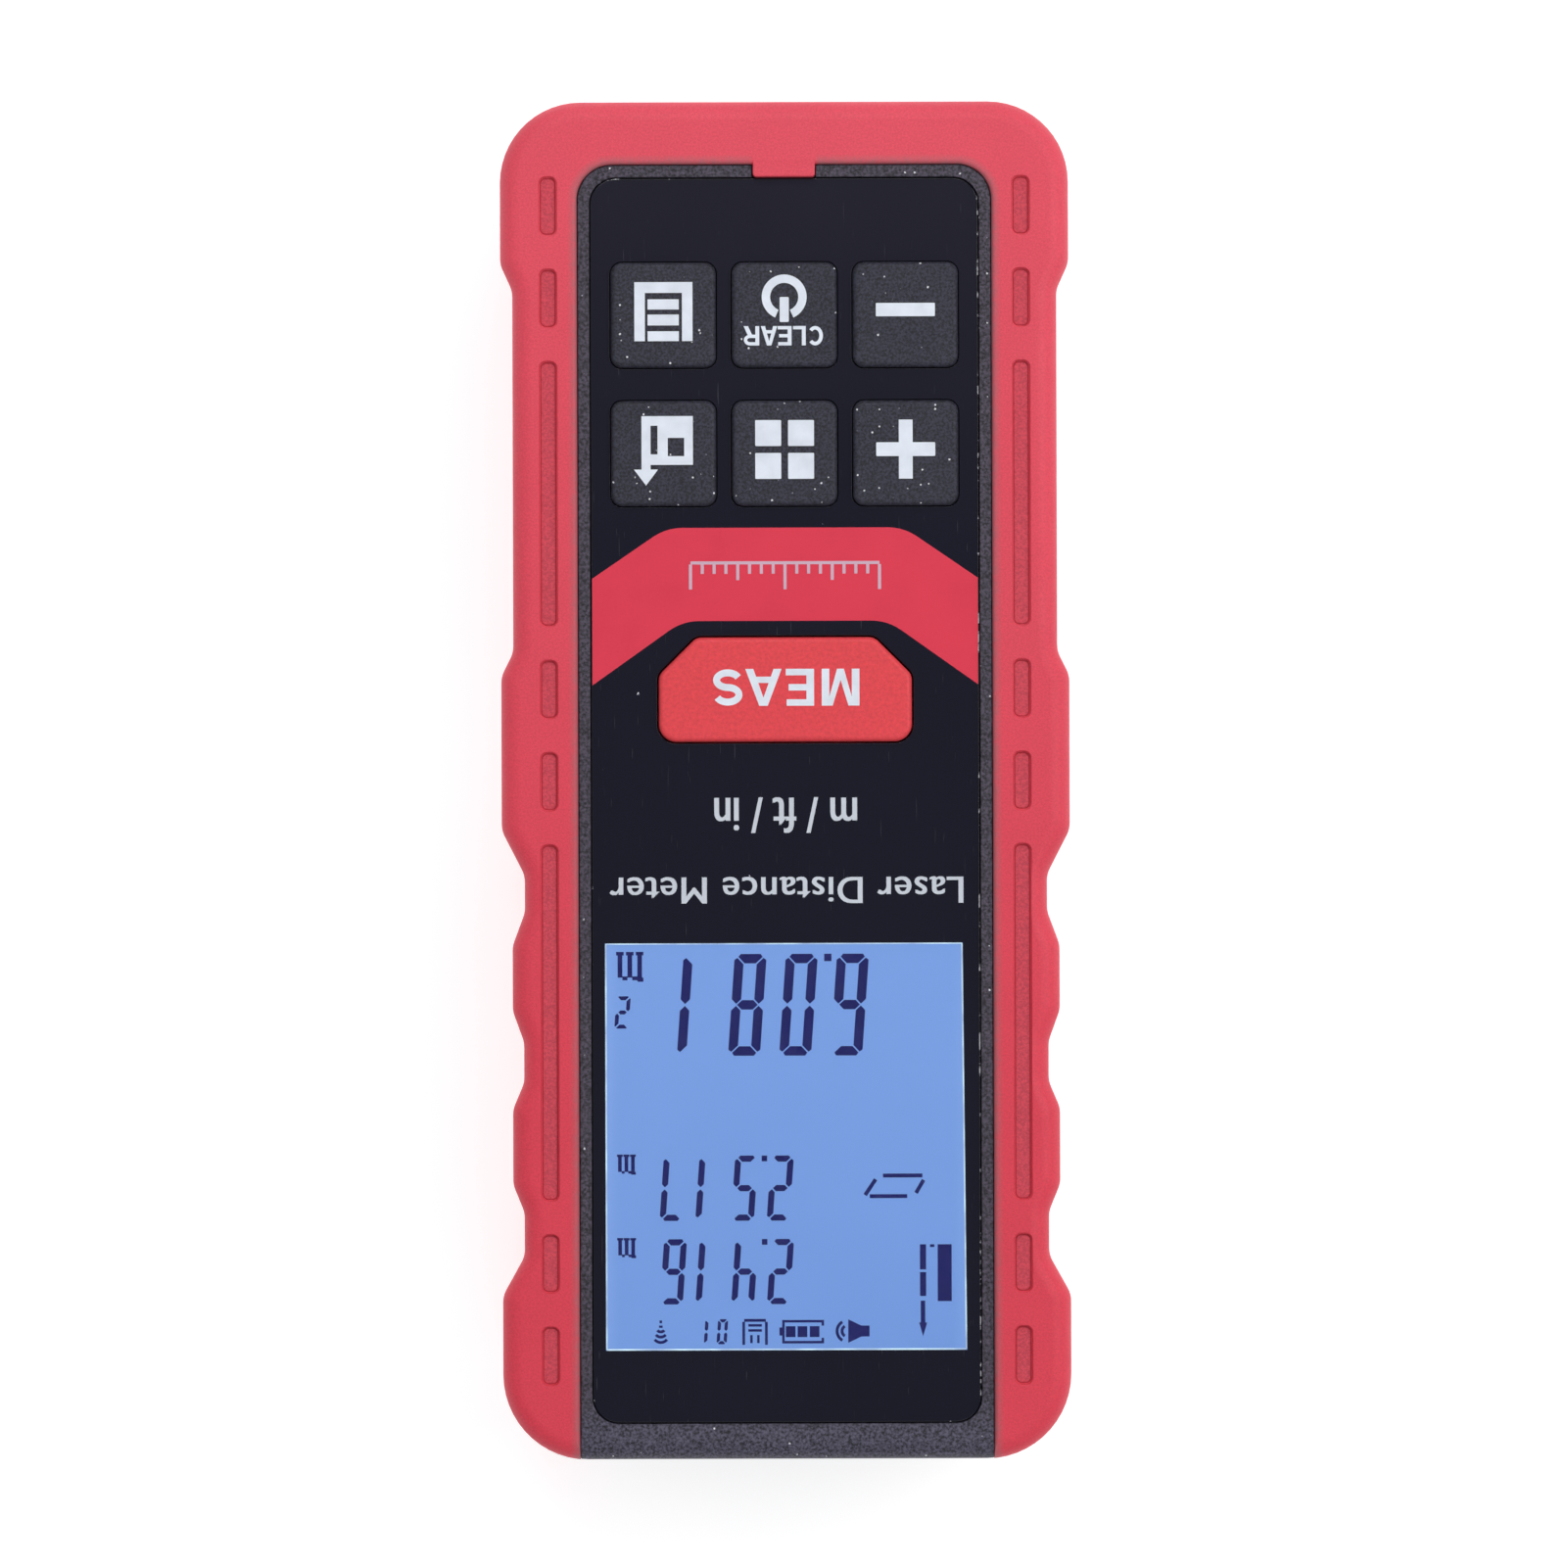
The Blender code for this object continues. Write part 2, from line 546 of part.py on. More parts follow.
def make_flex_cable():
    """A ribbon from the back of the detector board, over a round bend, to the main board."""
    thickness, radius = 0.2, 2.5
    start_y, end_y, foot_z, top_z = 20.2, 12.5, 9.0, BOARD_LOW - 0.1
    bend_y, bend_z = start_y - radius, top_z - radius
    line = [(start_y, foot_z)]
    for k in range(7):
        angle = math.radians(90) * k / 6
        line.append((bend_y + radius * math.cos(angle), bend_z + radius * math.sin(angle)))
    line.append((end_y, top_z))
    inner = [(bend_y + (y - bend_y) * (1 - thickness / radius), bend_z + (z - bend_z) * (1 - thickness / radius))
             for y, z in line[1:-1]]
    inner = [(start_y - thickness, foot_z)] + inner + [(end_y, top_z - thickness)]
    bm = bmesh.new()
    rings = [[bm.verts.new((x, y, z)) for y, z in line + inner[::-1]] for x in (-12.5, -5.5)]
    bridge(bm, rings)
    bm.faces.new(rings[0])
    bm.faces.new(list(reversed(rings[1])))
    return new_object("ribbon", bm)


# ---------------------------------------------------------------- battery bay

def make_door():
    """A flat door with two hooks at its hinge end and a thumb latch at its tail."""
    door = box(-DOOR_HALF_WIDTH, DOOR_HALF_WIDTH, DOOR_TAIL_Y, HINGE_Y - DOOR_GAP, BACK_BOTTOM, DOOR_HIGH)
    for side in (-1, 1):
        left, right = sorted((side * 11.1, side * 12.9))
        riser = box(left, right, HINGE_Y - 1.8, HINGE_Y - DOOR_GAP, DOOR_HIGH - 0.5, FLOOR + 1.2)
        hook = box(left, right, HINGE_Y - 1.0, HINGE_Y + 2.6, FLOOR + 0.25, FLOOR + 1.2)
        door = boolean(door, "UNION", riser, hook)
        slit = box(side * 4.6 - 0.4, side * 4.6 + 0.4, DOOR_TAIL_Y - 1, DOOR_TAIL_Y + 6, -1, DOOR_HIGH + 1)
        door = boolean(door, "DIFFERENCE", slit)
    thumb_recess = box(-3.4, 3.4, DOOR_TAIL_Y - 1, DOOR_TAIL_Y + 3.2, -1, BACK_BOTTOM + 0.5)
    return boolean(door, "DIFFERENCE", thumb_recess)


def make_cell(x, tail_is_positive):
    """An AAA cell: can, and the raised nipple at its positive end."""
    tip = BAY_TAIL_Y + 0.5 if tail_is_positive else CONTACT_WALL_Y - 0.5
    away = 1 if tail_is_positive else -1
    profile = [(1.9, 0), (1.9, CELL_NIPPLE), (CELL_RADIUS - 0.5, CELL_NIPPLE), (CELL_RADIUS, CELL_NIPPLE + 0.5),
               (CELL_RADIUS, CELL_LENGTH - 0.4), (CELL_RADIUS - 0.4, CELL_LENGTH)]
    return turned([(radius, tip + away * y) for radius, y in profile], x, CELL_Z, steps=24)


def make_spring(x, base_y, towards):
    """A conical battery spring along Y, widest at its plate."""
    turns, per_turn, sides, wire = 3.25, 12, 5, 0.3
    length, base_radius, tip_radius = 4.1, 3.6, 2.3
    bm = bmesh.new()
    rings = []
    steps = int(turns * per_turn)
    for k in range(steps + 1):
        share = k / steps
        angle = 2 * math.pi * turns * share
        radial = Vector((math.cos(angle), 0, math.sin(angle)))
        radius = base_radius + (tip_radius - base_radius) * share
        centre = Vector((x, base_y + towards * (wire + share * (length - 2 * wire)), CELL_Z)) + radial * radius
        ring = []
        for side in range(sides):
            around = 2 * math.pi * side / sides
            offset = radial * math.cos(around) + Vector((0, math.sin(around), 0))
            ring.append(bm.verts.new(centre + offset * wire))
        rings.append(ring)
    bridge(bm, rings)
    bm.faces.new(rings[0])
    bm.faces.new(rings[-1])
    return new_object("spring", bm)


def make_contact(left, right, y, with_tab):
    """A contact plate on a bay wall, with a tab up to the main board."""
    plate = box(left, right, y, y + CONTACT_THICKNESS, 3.2, 12.4)
    if with_tab:
        middle = (left + right) / 2
        plate = boolean(
            plate, "UNION", box(middle - 1.1, middle + 1.1, y, y + CONTACT_THICKNESS, 12.0, BOARD_LOW - 0.1)
        )
    return plate


# ---------------------------------------------------------------- optics

def make_optical_block():
    """The cast body that holds the laser barrel and the receiver lens in line."""
    block = box(BLOCK_LEFT, BLOCK_RIGHT, BLOCK_TAIL_Y, BLOCK_NOSE_Y, BLOCK_LOW, BLOCK_HIGH)
    cutters = [
        bore(RECEIVER_X, LENS_RADIUS + 0.15, 51.6, BLOCK_NOSE_Y + 1),
        bore(RECEIVER_X, 5.6, 24.0, 52.0, steps=20),
        bore(RECEIVER_X, 3.0, BLOCK_TAIL_Y - 1, 25.0, steps=16),
        bore(EMITTER_X, BARREL_RADIUS + 0.15, 37.5, BLOCK_NOSE_Y + 1),
        box(BLOCK_LEFT - 1, EMITTER_X + 3.4, BLOCK_TAIL_Y - 1, 38.5, BLOCK_LOW + 3, BLOCK_HIGH + 1),
    ]
    for x, y in BLOCK_SCREWS:
        cutters += [
            post((x, y), 2.3, BLOCK_LOW - 1, 5.6, steps=16),
            post((x, y), 1.2, 5, BLOCK_HIGH + 1, steps=12),
            post((x, y), 2.1, BLOCK_HIGH - 1.6, BLOCK_HIGH + 1, steps=16),
        ]
    return boolean(block, "DIFFERENCE", *cutters)


def make_receiver_lens():
    edge_tail, edge_nose, dome = 52.0, 54.4, 2.6
    profile = [(LENS_RADIUS, edge_tail), (LENS_RADIUS, edge_nose)]
    for k in range(1, 6):
        share = k / 5.5
        profile.append((LENS_RADIUS * math.sqrt(1 - share), edge_nose + dome * share))
    return turned(profile, RECEIVER_X)


def make_collimator():
    profile = [(2.25, 50.4), (2.25, 51.6), (1.8, 52.1), (0.9, 52.4)]
    return turned(profile, EMITTER_X, steps=20)


def make_barrel():
    profile = [(BARREL_RADIUS, 38.3), (BARREL_RADIUS, 55.6), (BARREL_BORE, 55.6), (BARREL_BORE, 38.3)]
    return turned(profile, EMITTER_X, ring=True)


def make_laser_diode():
    profile = [(2.25, 38.6), (2.25, 39.8), (1.6, 39.8), (1.6, 42.2)]
    return turned(profile, EMITTER_X, steps=20)


# ---------------------------------------------------------------- screws

def make_screw(centre, head_radius, shaft_radius, head_face, seat, tip):
    """A pan-head screw standing along Z, with a cross recess in its head."""
    away = 1 if tip > seat else -1
    levels = [(0, head_face), (0, seat)]
    head = prism(circle(head_radius, centre, 16), min(levels)[1], max(levels)[1])
    shaft_low, shaft_high = sorted((seat - away * 0.3, tip))
    screw = boolean(head, "UNION", post(centre, shaft_radius, shaft_low, shaft_high, steps=10))
    x, y = centre
    arm, half = head_radius * 0.6, 0.25
    low, high = sorted((head_face - away * 0.5, head_face + away * 0.6))
    slots = [box(x - arm, x + arm, y - half, y + half, low, high), box(x - half, x + half, y - arm, y + arm, low, high)]
    return boolean(screw, "DIFFERENCE", boolean(slots[0], "UNION", slots[1]))


# ---------------------------------------------------------------- assembly

def make_case_pieces():
    finish_piece(make_front_housing(), "front_housing", "shell_grey")
    finish_piece(make_rear_housing(), "rear_housing", "shell_grey")
    finish_piece(make_front_bumper(), "front_bumper", "rubber_red")
    finish_piece(make_rear_bumper(), "rear_bumper", "rubber_red")
    finish_piece(make_faceplate(), "faceplate", "face_black")
    finish_piece(make_nose_plate(), "nose_plate", "face_black")
    finish_piece(make_label(), "rear_label", "label_silver")


def make_key_pieces():
    centres = list(key_centres())
    for name, centre in centres:
        key = make_key(key_outline(centre), centre, KEY_TOP)
        finish_piece(key, name, "key_black", (*centre, KEY_FLANGE_HIGH))
    centre = (0, MEASURE_Y)
    measure = make_key(measure_outline(), centre, KEY_TOP + 0.1)
    finish_piece(measure, "measure_key", "key_red", (*centre, KEY_FLANGE_HIGH))
    finish_piece(make_keypad_mat(), "keypad_mat", "silicone_grey")
    for name, centre in centres + [("measure_key", centre)]:
        finish_piece(make_switch(centre), "switch_" + name.replace("key_", "").replace("_key", ""), "steel")


def make_board_pieces():
    finish_piece(make_main_board(), "main_board", "board_green")
    finish_piece(box(-16.8, 16.8, 11.1, 50.3, 21.3, 23.1), "lcd_glass", "screen_blue")
    finish_piece(box(-16.4, 16.4, 13.9, 50.1, 19.6, 21.1), "backlight_panel", "plastic_white")
    finish_piece(box(-15.5, 15.5, 11.6, 13.5, 19.35, 21.15), "lcd_connector", "silicone_grey")
    finish_piece(make_screen_frame(), "lcd_frame", "plastic_white")
    finish_piece(box(-5, 5, -34, -24, 16.5, 17.9), "controller_chip", "chip_black")
    finish_piece(post((-9.5, -44.0), 6.0, 15.0, 17.9, steps=28), "buzzer", "chip_black")


def make_battery_pieces():
    finish_piece(make_door(), "battery_door", "shell_grey", (0, HINGE_Y, BACK_BOTTOM))
    finish_piece(make_cell(CELL_X, False), "battery_cell_1", "cell_wrap")
    finish_piece(make_cell(-CELL_X, True), "battery_cell_2", "cell_wrap")
    tail_plate, nose_plate = BAY_TAIL_Y + 0.1, CONTACT_WALL_Y - 0.1 - CONTACT_THICKNESS
    finish_piece(make_contact(-10, 10, tail_plate, False), "contact_bridge", "steel")
    finish_piece(make_contact(CELL_X - 4.2, CELL_X + 4.2, nose_plate, True), "contact_positive", "steel")
    finish_piece(make_contact(-CELL_X - 4.2, -CELL_X + 4.2, nose_plate, True), "contact_negative", "steel")
    finish_piece(make_spring(CELL_X, tail_plate + CONTACT_THICKNESS + 0.1, 1), "spring_bridge", "steel")
    finish_piece(make_spring(-CELL_X, nose_plate - 0.1, -1), "spring_negative", "steel")


def make_optics_pieces():
    finish_piece(make_optical_block(), "optical_block", "cast_aluminium")
    finish_piece(make_receiver_lens(), "receiver_lens", "lens_glass")
    finish_piece(bore(EMITTER_X, 2.9, 56.55, 57.5), "emitter_window", "lens_glass")
    finish_piece(make_barrel(), "laser_barrel", "brass")
    finish_piece(make_collimator(), "collimator_lens", "lens_glass")
    finish_piece(make_laser_diode(), "laser_diode", "steel")
    finish_piece(box(BLOCK_LEFT + 0.2, BLOCK_RIGHT - 0.2, 20.4, 21.6, 2.7, 17.2), "detector_board", "board_green")
    finish_piece(bore(RECEIVER_X, 2.7, 21.7, 23.6, steps=20), "photodiode", "steel")
    finish_piece(box(-1.5, 12, 17.2, 20.3, 4.5, 15.5), "shield_can", "steel")
    finish_piece(make_flex_cable(), "flex_cable", "flex_amber")


def make_screw_pieces():
    for number, centre in enumerate(CASE_SCREWS, 1):
        screw = make_screw(centre, 1.9, 1.1, 1.3, CASE_SCREW_SEAT - 0.05, 18.0)
        finish_piece(screw, f"case_screw_{number}", "steel")
    for number, centre in enumerate(BOARD_SCREWS, 1):
        screw = make_screw(centre, 1.8, 0.85, BOARD_LOW - 1.3, BOARD_LOW - 0.05, 22.3)
        finish_piece(screw, f"board_screw_{number}", "steel")
    for number, centre in enumerate(BLOCK_SCREWS, 1):
        screw = make_screw(centre, 1.9, 0.85, BLOCK_HIGH - 0.2, BLOCK_HIGH - 1.55, 2.9)
        finish_piece(screw, f"optics_screw_{number}", "steel")


def main():
    clear_scene()
    make_case_pieces()
    make_key_pieces()
    make_board_pieces()
    make_battery_pieces()
    make_optics_pieces()
    make_screw_pieces()
    meter = bpy.data.objects.new("laser_distance_meter", None)
    bpy.context.scene.collection.objects.link(meter)
    for obj in list(bpy.context.scene.objects):
        if obj is not meter:
            obj.parent = meter


main()
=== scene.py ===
"""Looks of the laser distance meter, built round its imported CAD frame.

Sizes here are millimetres; made() turns them into metres. +Y points to the laser end, +Z out of the
screen, and the case lies on its back at Z 0.
"""

import math

import bmesh
import bpy
from mathutils import Matrix, Vector


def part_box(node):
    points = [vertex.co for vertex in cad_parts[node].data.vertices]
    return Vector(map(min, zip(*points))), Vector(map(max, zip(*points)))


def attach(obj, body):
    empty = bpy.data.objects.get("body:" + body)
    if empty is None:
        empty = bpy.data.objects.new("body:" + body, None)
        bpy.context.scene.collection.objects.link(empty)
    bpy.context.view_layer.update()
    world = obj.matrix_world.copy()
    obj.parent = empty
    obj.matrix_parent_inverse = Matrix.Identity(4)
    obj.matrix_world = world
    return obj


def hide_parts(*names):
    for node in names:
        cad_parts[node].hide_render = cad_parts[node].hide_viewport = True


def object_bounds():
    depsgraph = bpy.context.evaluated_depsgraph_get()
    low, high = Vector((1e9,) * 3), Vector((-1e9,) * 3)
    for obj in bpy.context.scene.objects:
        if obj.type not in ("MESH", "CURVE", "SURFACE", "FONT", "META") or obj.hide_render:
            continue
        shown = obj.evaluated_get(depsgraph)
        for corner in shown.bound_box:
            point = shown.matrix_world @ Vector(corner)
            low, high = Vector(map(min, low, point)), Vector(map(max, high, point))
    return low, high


MM = 0.001

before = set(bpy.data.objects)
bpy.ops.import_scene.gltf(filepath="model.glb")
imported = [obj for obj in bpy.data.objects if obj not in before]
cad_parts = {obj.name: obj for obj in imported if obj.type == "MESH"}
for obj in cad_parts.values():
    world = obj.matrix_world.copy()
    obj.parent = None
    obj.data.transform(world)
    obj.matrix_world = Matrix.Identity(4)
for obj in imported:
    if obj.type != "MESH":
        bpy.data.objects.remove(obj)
cad_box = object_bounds()


def cad(node):
    """Lowest and highest corner of a CAD node."""
    low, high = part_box(node)
    return Vector(low) / MM, Vector(high) / MM


def middle_of(node):
    """The middle of a CAD node, seen from above."""
    low, high = cad(node)
    return (low.x + high.x) / 2, (low.y + high.y) / 2


# ---- sizes taken from the frame

HALF_WIDTH, HALF_LENGTH, HEIGHT = Vector(cad_box[1]) / MM
FRONT_LOW = cad("front_bumper")[0].z
REAR_HIGH = cad("rear_bumper")[1].z
RIM_TOP = cad("front_housing")[1].z
BACK_BOTTOM = cad("rear_housing")[0].z
FACE_LOW, FACE_HIGH = cad("faceplate")
KEY_TOP = cad("key_plus")[1].z
MEASURE_LOW, MEASURE_HIGH = cad("measure_key")
PLATE_LOW, PLATE_HIGH = cad("nose_plate")
DOOR_LOW, DOOR_HIGH = cad("battery_door")
LABEL_LOW, LABEL_HIGH = cad("rear_label")
LENS_LOW, LENS_HIGH = cad("receiver_lens")
EMITTER_LOW, EMITTER_HIGH = cad("emitter_window")
OPTICS_Z = (LENS_LOW.z + LENS_HIGH.z) / 2
RECEIVER_X, EMITTER_X = middle_of("receiver_lens")[0], middle_of("emitter_window")[0]
CASE_SCREWS = [middle_of(f"case_screw_{n}") for n in (1, 2, 3, 4)]
BLOCK_SCREWS = [middle_of(f"optics_screw_{n}") for n in (1, 2)]
KEY_NAMES = ("key_minus", "key_power", "key_memory", "key_plus", "key_function", "key_reference")

# Sizes of the shapes that the frame only roughs out.
EDGE_RADIUS = 1.8
TAIL_RADIUS, NOSE_RADIUS, WAVE_RADIUS = 7.0, 7.4, 2.4
HANDLE_HALF_WIDTH, CREST_HALF_WIDTH, TROUGH_HALF_WIDTH = 23.65, 23.78, 22.8
SHOULDER_TOP, FLOOR, SPLIT_Z, WALL = 24.5, 1.9, 13.2, 1.6
CORE_HALF_WIDTH, CORE_TAIL_Y, CORE_NOSE_Y, CORE_RADIUS = 21.6, -57.0, 56.8, 5.2
RIM_HALF_WIDTH, RIM_TAIL_Y, RIM_RADIUS = 17.93, -53.4, 3.0
BACK_HALF_WIDTH, BACK_TAIL_Y, BACK_NOSE_Y, BACK_RADIUS = 20.4, -55.6, 57.0, 4.0
GAP = 0.15              # clearance of a pocket or a pressed fit
SEAM = 0.05             # width of the line between two fitted pieces
INSIDE_Z = 20           # where cutters through the face begin, inside the hollow of the case
PARTING, FINE_PARTING = 0.2, 0.12       # chamfers where the two halves of the case meet
ROOM_LOW, ROOM_TOP = 5, 23.3            # the hollow of the front shell
FACE_RADIUS = 2.3
SLOT_X, SLOT_WIDTH, SLOT_DEPTH, SLOT_SPACE, SLOT_TAIL_Y = 20.5, 1.55, 0.4, 2.9, -52.4
SLOT_LENGTHS = (5.1, 5.1, 23.0, 5.1, 5.1, 30.9, 5.1, 5.1)
TAB_HALF_WIDTH = 2.7
SCREEN_TAIL_Y, SCREEN_NOSE_Y, SCREEN_RIGHT = 14.1, 49.45, 15.72
SCREEN_LEFT_AT_TAIL, SCREEN_LEFT_AT_NOSE = -15.32, -15.62      # the screen sits a little out of square
SCREEN_Z = 25.15        # top of the liquid crystal cell
KEY_RADIUS, KEY_CLEARANCE, KEY_LIP = 1.0, 0.07, 0.4
PLUS_X, PLUS_Y, MINUS_Y, POWER_Y = -10.5, -28.7, -40.8, -41.92   # middles of the keys' signs
INK = 0.02              # thickness of a print
STAGGER = 0.003         # steps between the tops of prints that may overlap
CREASE = math.radians(32)               # edges sharper than this stay sharp
EMITTER_BORE, RECEIVER_BORE, BORE_TAIL_Y = 3.0, 7.2, 55.0
BAY_HALF_WIDTH, BAY_TAIL_Y, BAY_NOSE_Y, BAY_ROOF, BAY_WALL = 13.2, -52.6, 4.6, 13.1, 1.2
CONTACT_WALL_Y, CELL_X, CELL_Z, CELL_RADIUS, HINGE_Y = -2.4, 5.6, 7.5, 5.25, 1.0


# ---- outlines and solids

def facet_for(radius):
    """The angle in degrees between points of an arc of that radius, coarser where it shows less."""
    return 7 if radius > 1.5 else 12 if radius > 0.5 else 22


def rounded(corners):
    """Points of a closed outline from (x, y, radius) corners, each corner turned as an arc."""
    points = []
    for i, (x, y, radius) in enumerate(corners):
        corner = Vector((x, y))
        before = (Vector(corners[i - 1][:2]) - corner).normalized()
        after = (Vector(corners[(i + 1) % len(corners)][:2]) - corner).normalized()
        if radius <= 0:
            points.append(corner)
            continue
        half_angle = before.angle(after) / 2
        centre = corner + (before + after).normalized() * radius / math.sin(half_angle)
        start = corner + before * radius / math.tan(half_angle) - centre
        turn = math.pi - 2 * half_angle
        steps = max(2, math.ceil(math.degrees(turn) / facet_for(radius)))
        side = 1 if start.x * (corner - centre).y - start.y * (corner - centre).x > 0 else -1
        points += [centre + Matrix.Rotation(side * turn * k / steps, 2) @ start for k in range(steps + 1)]
    return points


def mirrored(right_side):
    return right_side + [(-x, y, r) for x, y, r in reversed(right_side)]


def rectangle(left, right, low, high, radius=0.0):
    return rounded([(right, low, radius), (right, high, radius), (left, high, radius), (left, low, radius)])


def rectangles(*sides):
    return [rectangle(*four) for four in sides]


def centred(half_width, low, high, radius):
    return rectangle(-half_width, half_width, low, high, radius)


def footprint(node, grow, radius):
    """The rectangle round a CAD node, seen from above."""
    low, high = cad(node)
    return rectangle(low.x - grow, high.x + grow, low.y - grow, high.y + grow, radius)


def polygon(*corners):
    return [Vector(corner) for corner in corners]


def circle(radius, centre=(0, 0), steps=64):
    turns = (2 * math.pi * k / steps for k in range(steps))
    return [Vector(centre) + radius * Vector((math.cos(t), math.sin(t))) for t in turns]


def arc(centre, half_width, half_height, start, end, steps):
    """Points of part of an ellipse, from one angle to another in degrees."""
    angles = [math.radians(start + (end - start) * k / steps) for k in range(steps + 1)]
    return [Vector((centre[0] + half_width * math.cos(a), centre[1] + half_height * math.sin(a)))
            for a in angles]


def ring_part(centre, outer, inner, start, end, steps=40):
    """Part of a flat ring, from one angle to another in degrees."""
    return arc(centre, outer, outer, start, end, steps) + arc(centre, inner, inner, end, start, steps)


def stroke(path, width):
    """The outline of a line of that width along a path of points."""
    sides = ([], [])
    for i, point in enumerate(path):
        ahead = (path[min(i + 1, len(path) - 1)] - path[max(i - 1, 0)]).normalized()
        across = Vector((-ahead.y, ahead.x)) * width / 2
        sides[0].append(point - across)
        sides[1].append(point + across)
    return sides[0] + sides[1][::-1]


def anticlockwise(outline):
    area = sum(a.x * b.y - b.x * a.y for a, b in zip(outline, outline[1:] + outline[:1]))
    return outline if area > 0 else outline[::-1]


def inset(points, distance):
    """The outline moved inwards by a distance, with mitred corners. It runs anticlockwise."""
    moved = []
    for i, point in enumerate(points):
        before = (point - points[i - 1]).normalized()
        after = (points[(i + 1) % len(points)] - point).normalized()
        normals = [Vector((-d.y, d.x)) for d in (before, after)]
        bisector = (normals[0] + normals[1]).normalized()
        moved.append(point + bisector * distance / bisector.dot(normals[0]))
    return moved


def linked(data):
    obj = bpy.data.objects.new(data.name, data)
    bpy.context.scene.collection.objects.link(obj)
    return obj


def object_from(bm):
    """An object in the scene from a bmesh in metres, which is freed."""
    mesh = bpy.data.meshes.new("piece")
    bm.to_mesh(mesh)
    bm.free()
    return linked(mesh)


def made(bm):
    """An object in the scene from a bmesh in millimetres, which is freed."""
    bmesh.ops.recalc_face_normals(bm, faces=bm.faces)
    bmesh.ops.scale(bm, vec=(MM, MM, MM), verts=bm.verts)
    return object_from(bm)


def capped(bm, rings):
    """The solid whose side runs through rings of vertices, closed at both ends."""
    for low, high in zip(rings, rings[1:]):
        for i in range(len(low)):
            j = (i + 1) % len(low)
            bm.faces.new((low[i], low[j], high[j], high[i]))
    bm.faces.new(list(reversed(rings[0])))
    bm.faces.new(rings[-1])
    return made(bm)


def loft(outline, levels):
    """A solid whose section at each (inset, height) level is the outline moved in by that inset."""
    bm = bmesh.new()
    rings = []
    for distance, height in levels:
        section = inset(outline, distance) if distance else outline
        rings.append([bm.verts.new((p.x, p.y, height)) for p in section])
    return capped(bm, rings)


def quarter(radius, steps):
    """How far in and down each point of a quarter round is, from its side to its top."""
    angles = (math.radians(90) * k / steps for k in range(steps + 1))
    return [(radius * (1 - math.cos(angle)), radius * (1 - math.sin(angle))) for angle in angles]


def fillet(height, radius, away, steps=5):
    """Levels of a rounded edge that ends at that height, going up (away 1) or down (-1)."""
    return [(within, height - away * drop) for within, drop in quarter(radius, steps)]


def flare(height, radius, away):
    """Levels of a cutter that rounds over the mouth of what it cuts, at that height."""
    mouth = [(-within, height - away * drop) for within, drop in quarter(radius, 4)]
    return mouth + [(-radius, height + away * 2)]


def prism(outline, low, high):
    return loft(outline, [(0, low), (0, high)])


def box(left, right, tail, nose, low, high):
    return prism(rectangle(left, right, tail, nose), low, high)


def post(centre, radius, low, high):
    return prism(circle(radius, centre, 40), low, high)


def turned(profile, x, z=OPTICS_Z):
    """A solid turned about a line along Y at (x, z), from (radius, y) points."""
    bm = bmesh.new()
    rings = [[bm.verts.new((x + p.x, y, z + p.y)) for p in circle(radius)] for radius, y in profile]
    return capped(bm, rings)


def facing_nose(solid):
    """Turns a solid drawn in x and y, with its top up, to face +Y: its y becomes z and its z becomes y."""
    solid.data.transform(Matrix(((1, 0, 0, 0), (0, 0, 1, 0), (0, 1, 0, 0), (0, 0, 0, 1))))
    solid.data.flip_normals()
    return solid


def boolean(target, operation, others):
    for other in others:
        modifier = target.modifiers.new(operation.lower(), "BOOLEAN")
        modifier.operation = operation
        modifier.solver = "EXACT"
        modifier.object = other
        graph = bpy.context.evaluated_depsgraph_get()
        result = bpy.data.meshes.new_from_object(target.evaluated_get(graph))
        target.modifiers.clear()
        target.data = result
        bpy.data.objects.remove(other)
    return target


def cut(target, *cutters):
    return boolean(target, "DIFFERENCE", cutters)


def join(target, *others):
    return boolean(target, "UNION", others)


def together(objects):
    """One object from several, joined as they are."""
    bm = bmesh.new()
    for obj in objects:
        bm.from_mesh(obj.data)
        bpy.data.objects.remove(obj)
    return object_from(bm)


# ---- materials

WHITE = (1, 1, 1)
# Grey of the strip beside the rim of the case: dust, with painted shade.
GRIME_AND_SHADE = (0.26, 0.15, 0.16)
DUST = (0.75, 0.76, 0.8)


def shade(colour, share):
    """The colour with its brightness changed by that share."""
    return tuple(min(1.0, c * (1 + share)) for c in colour)


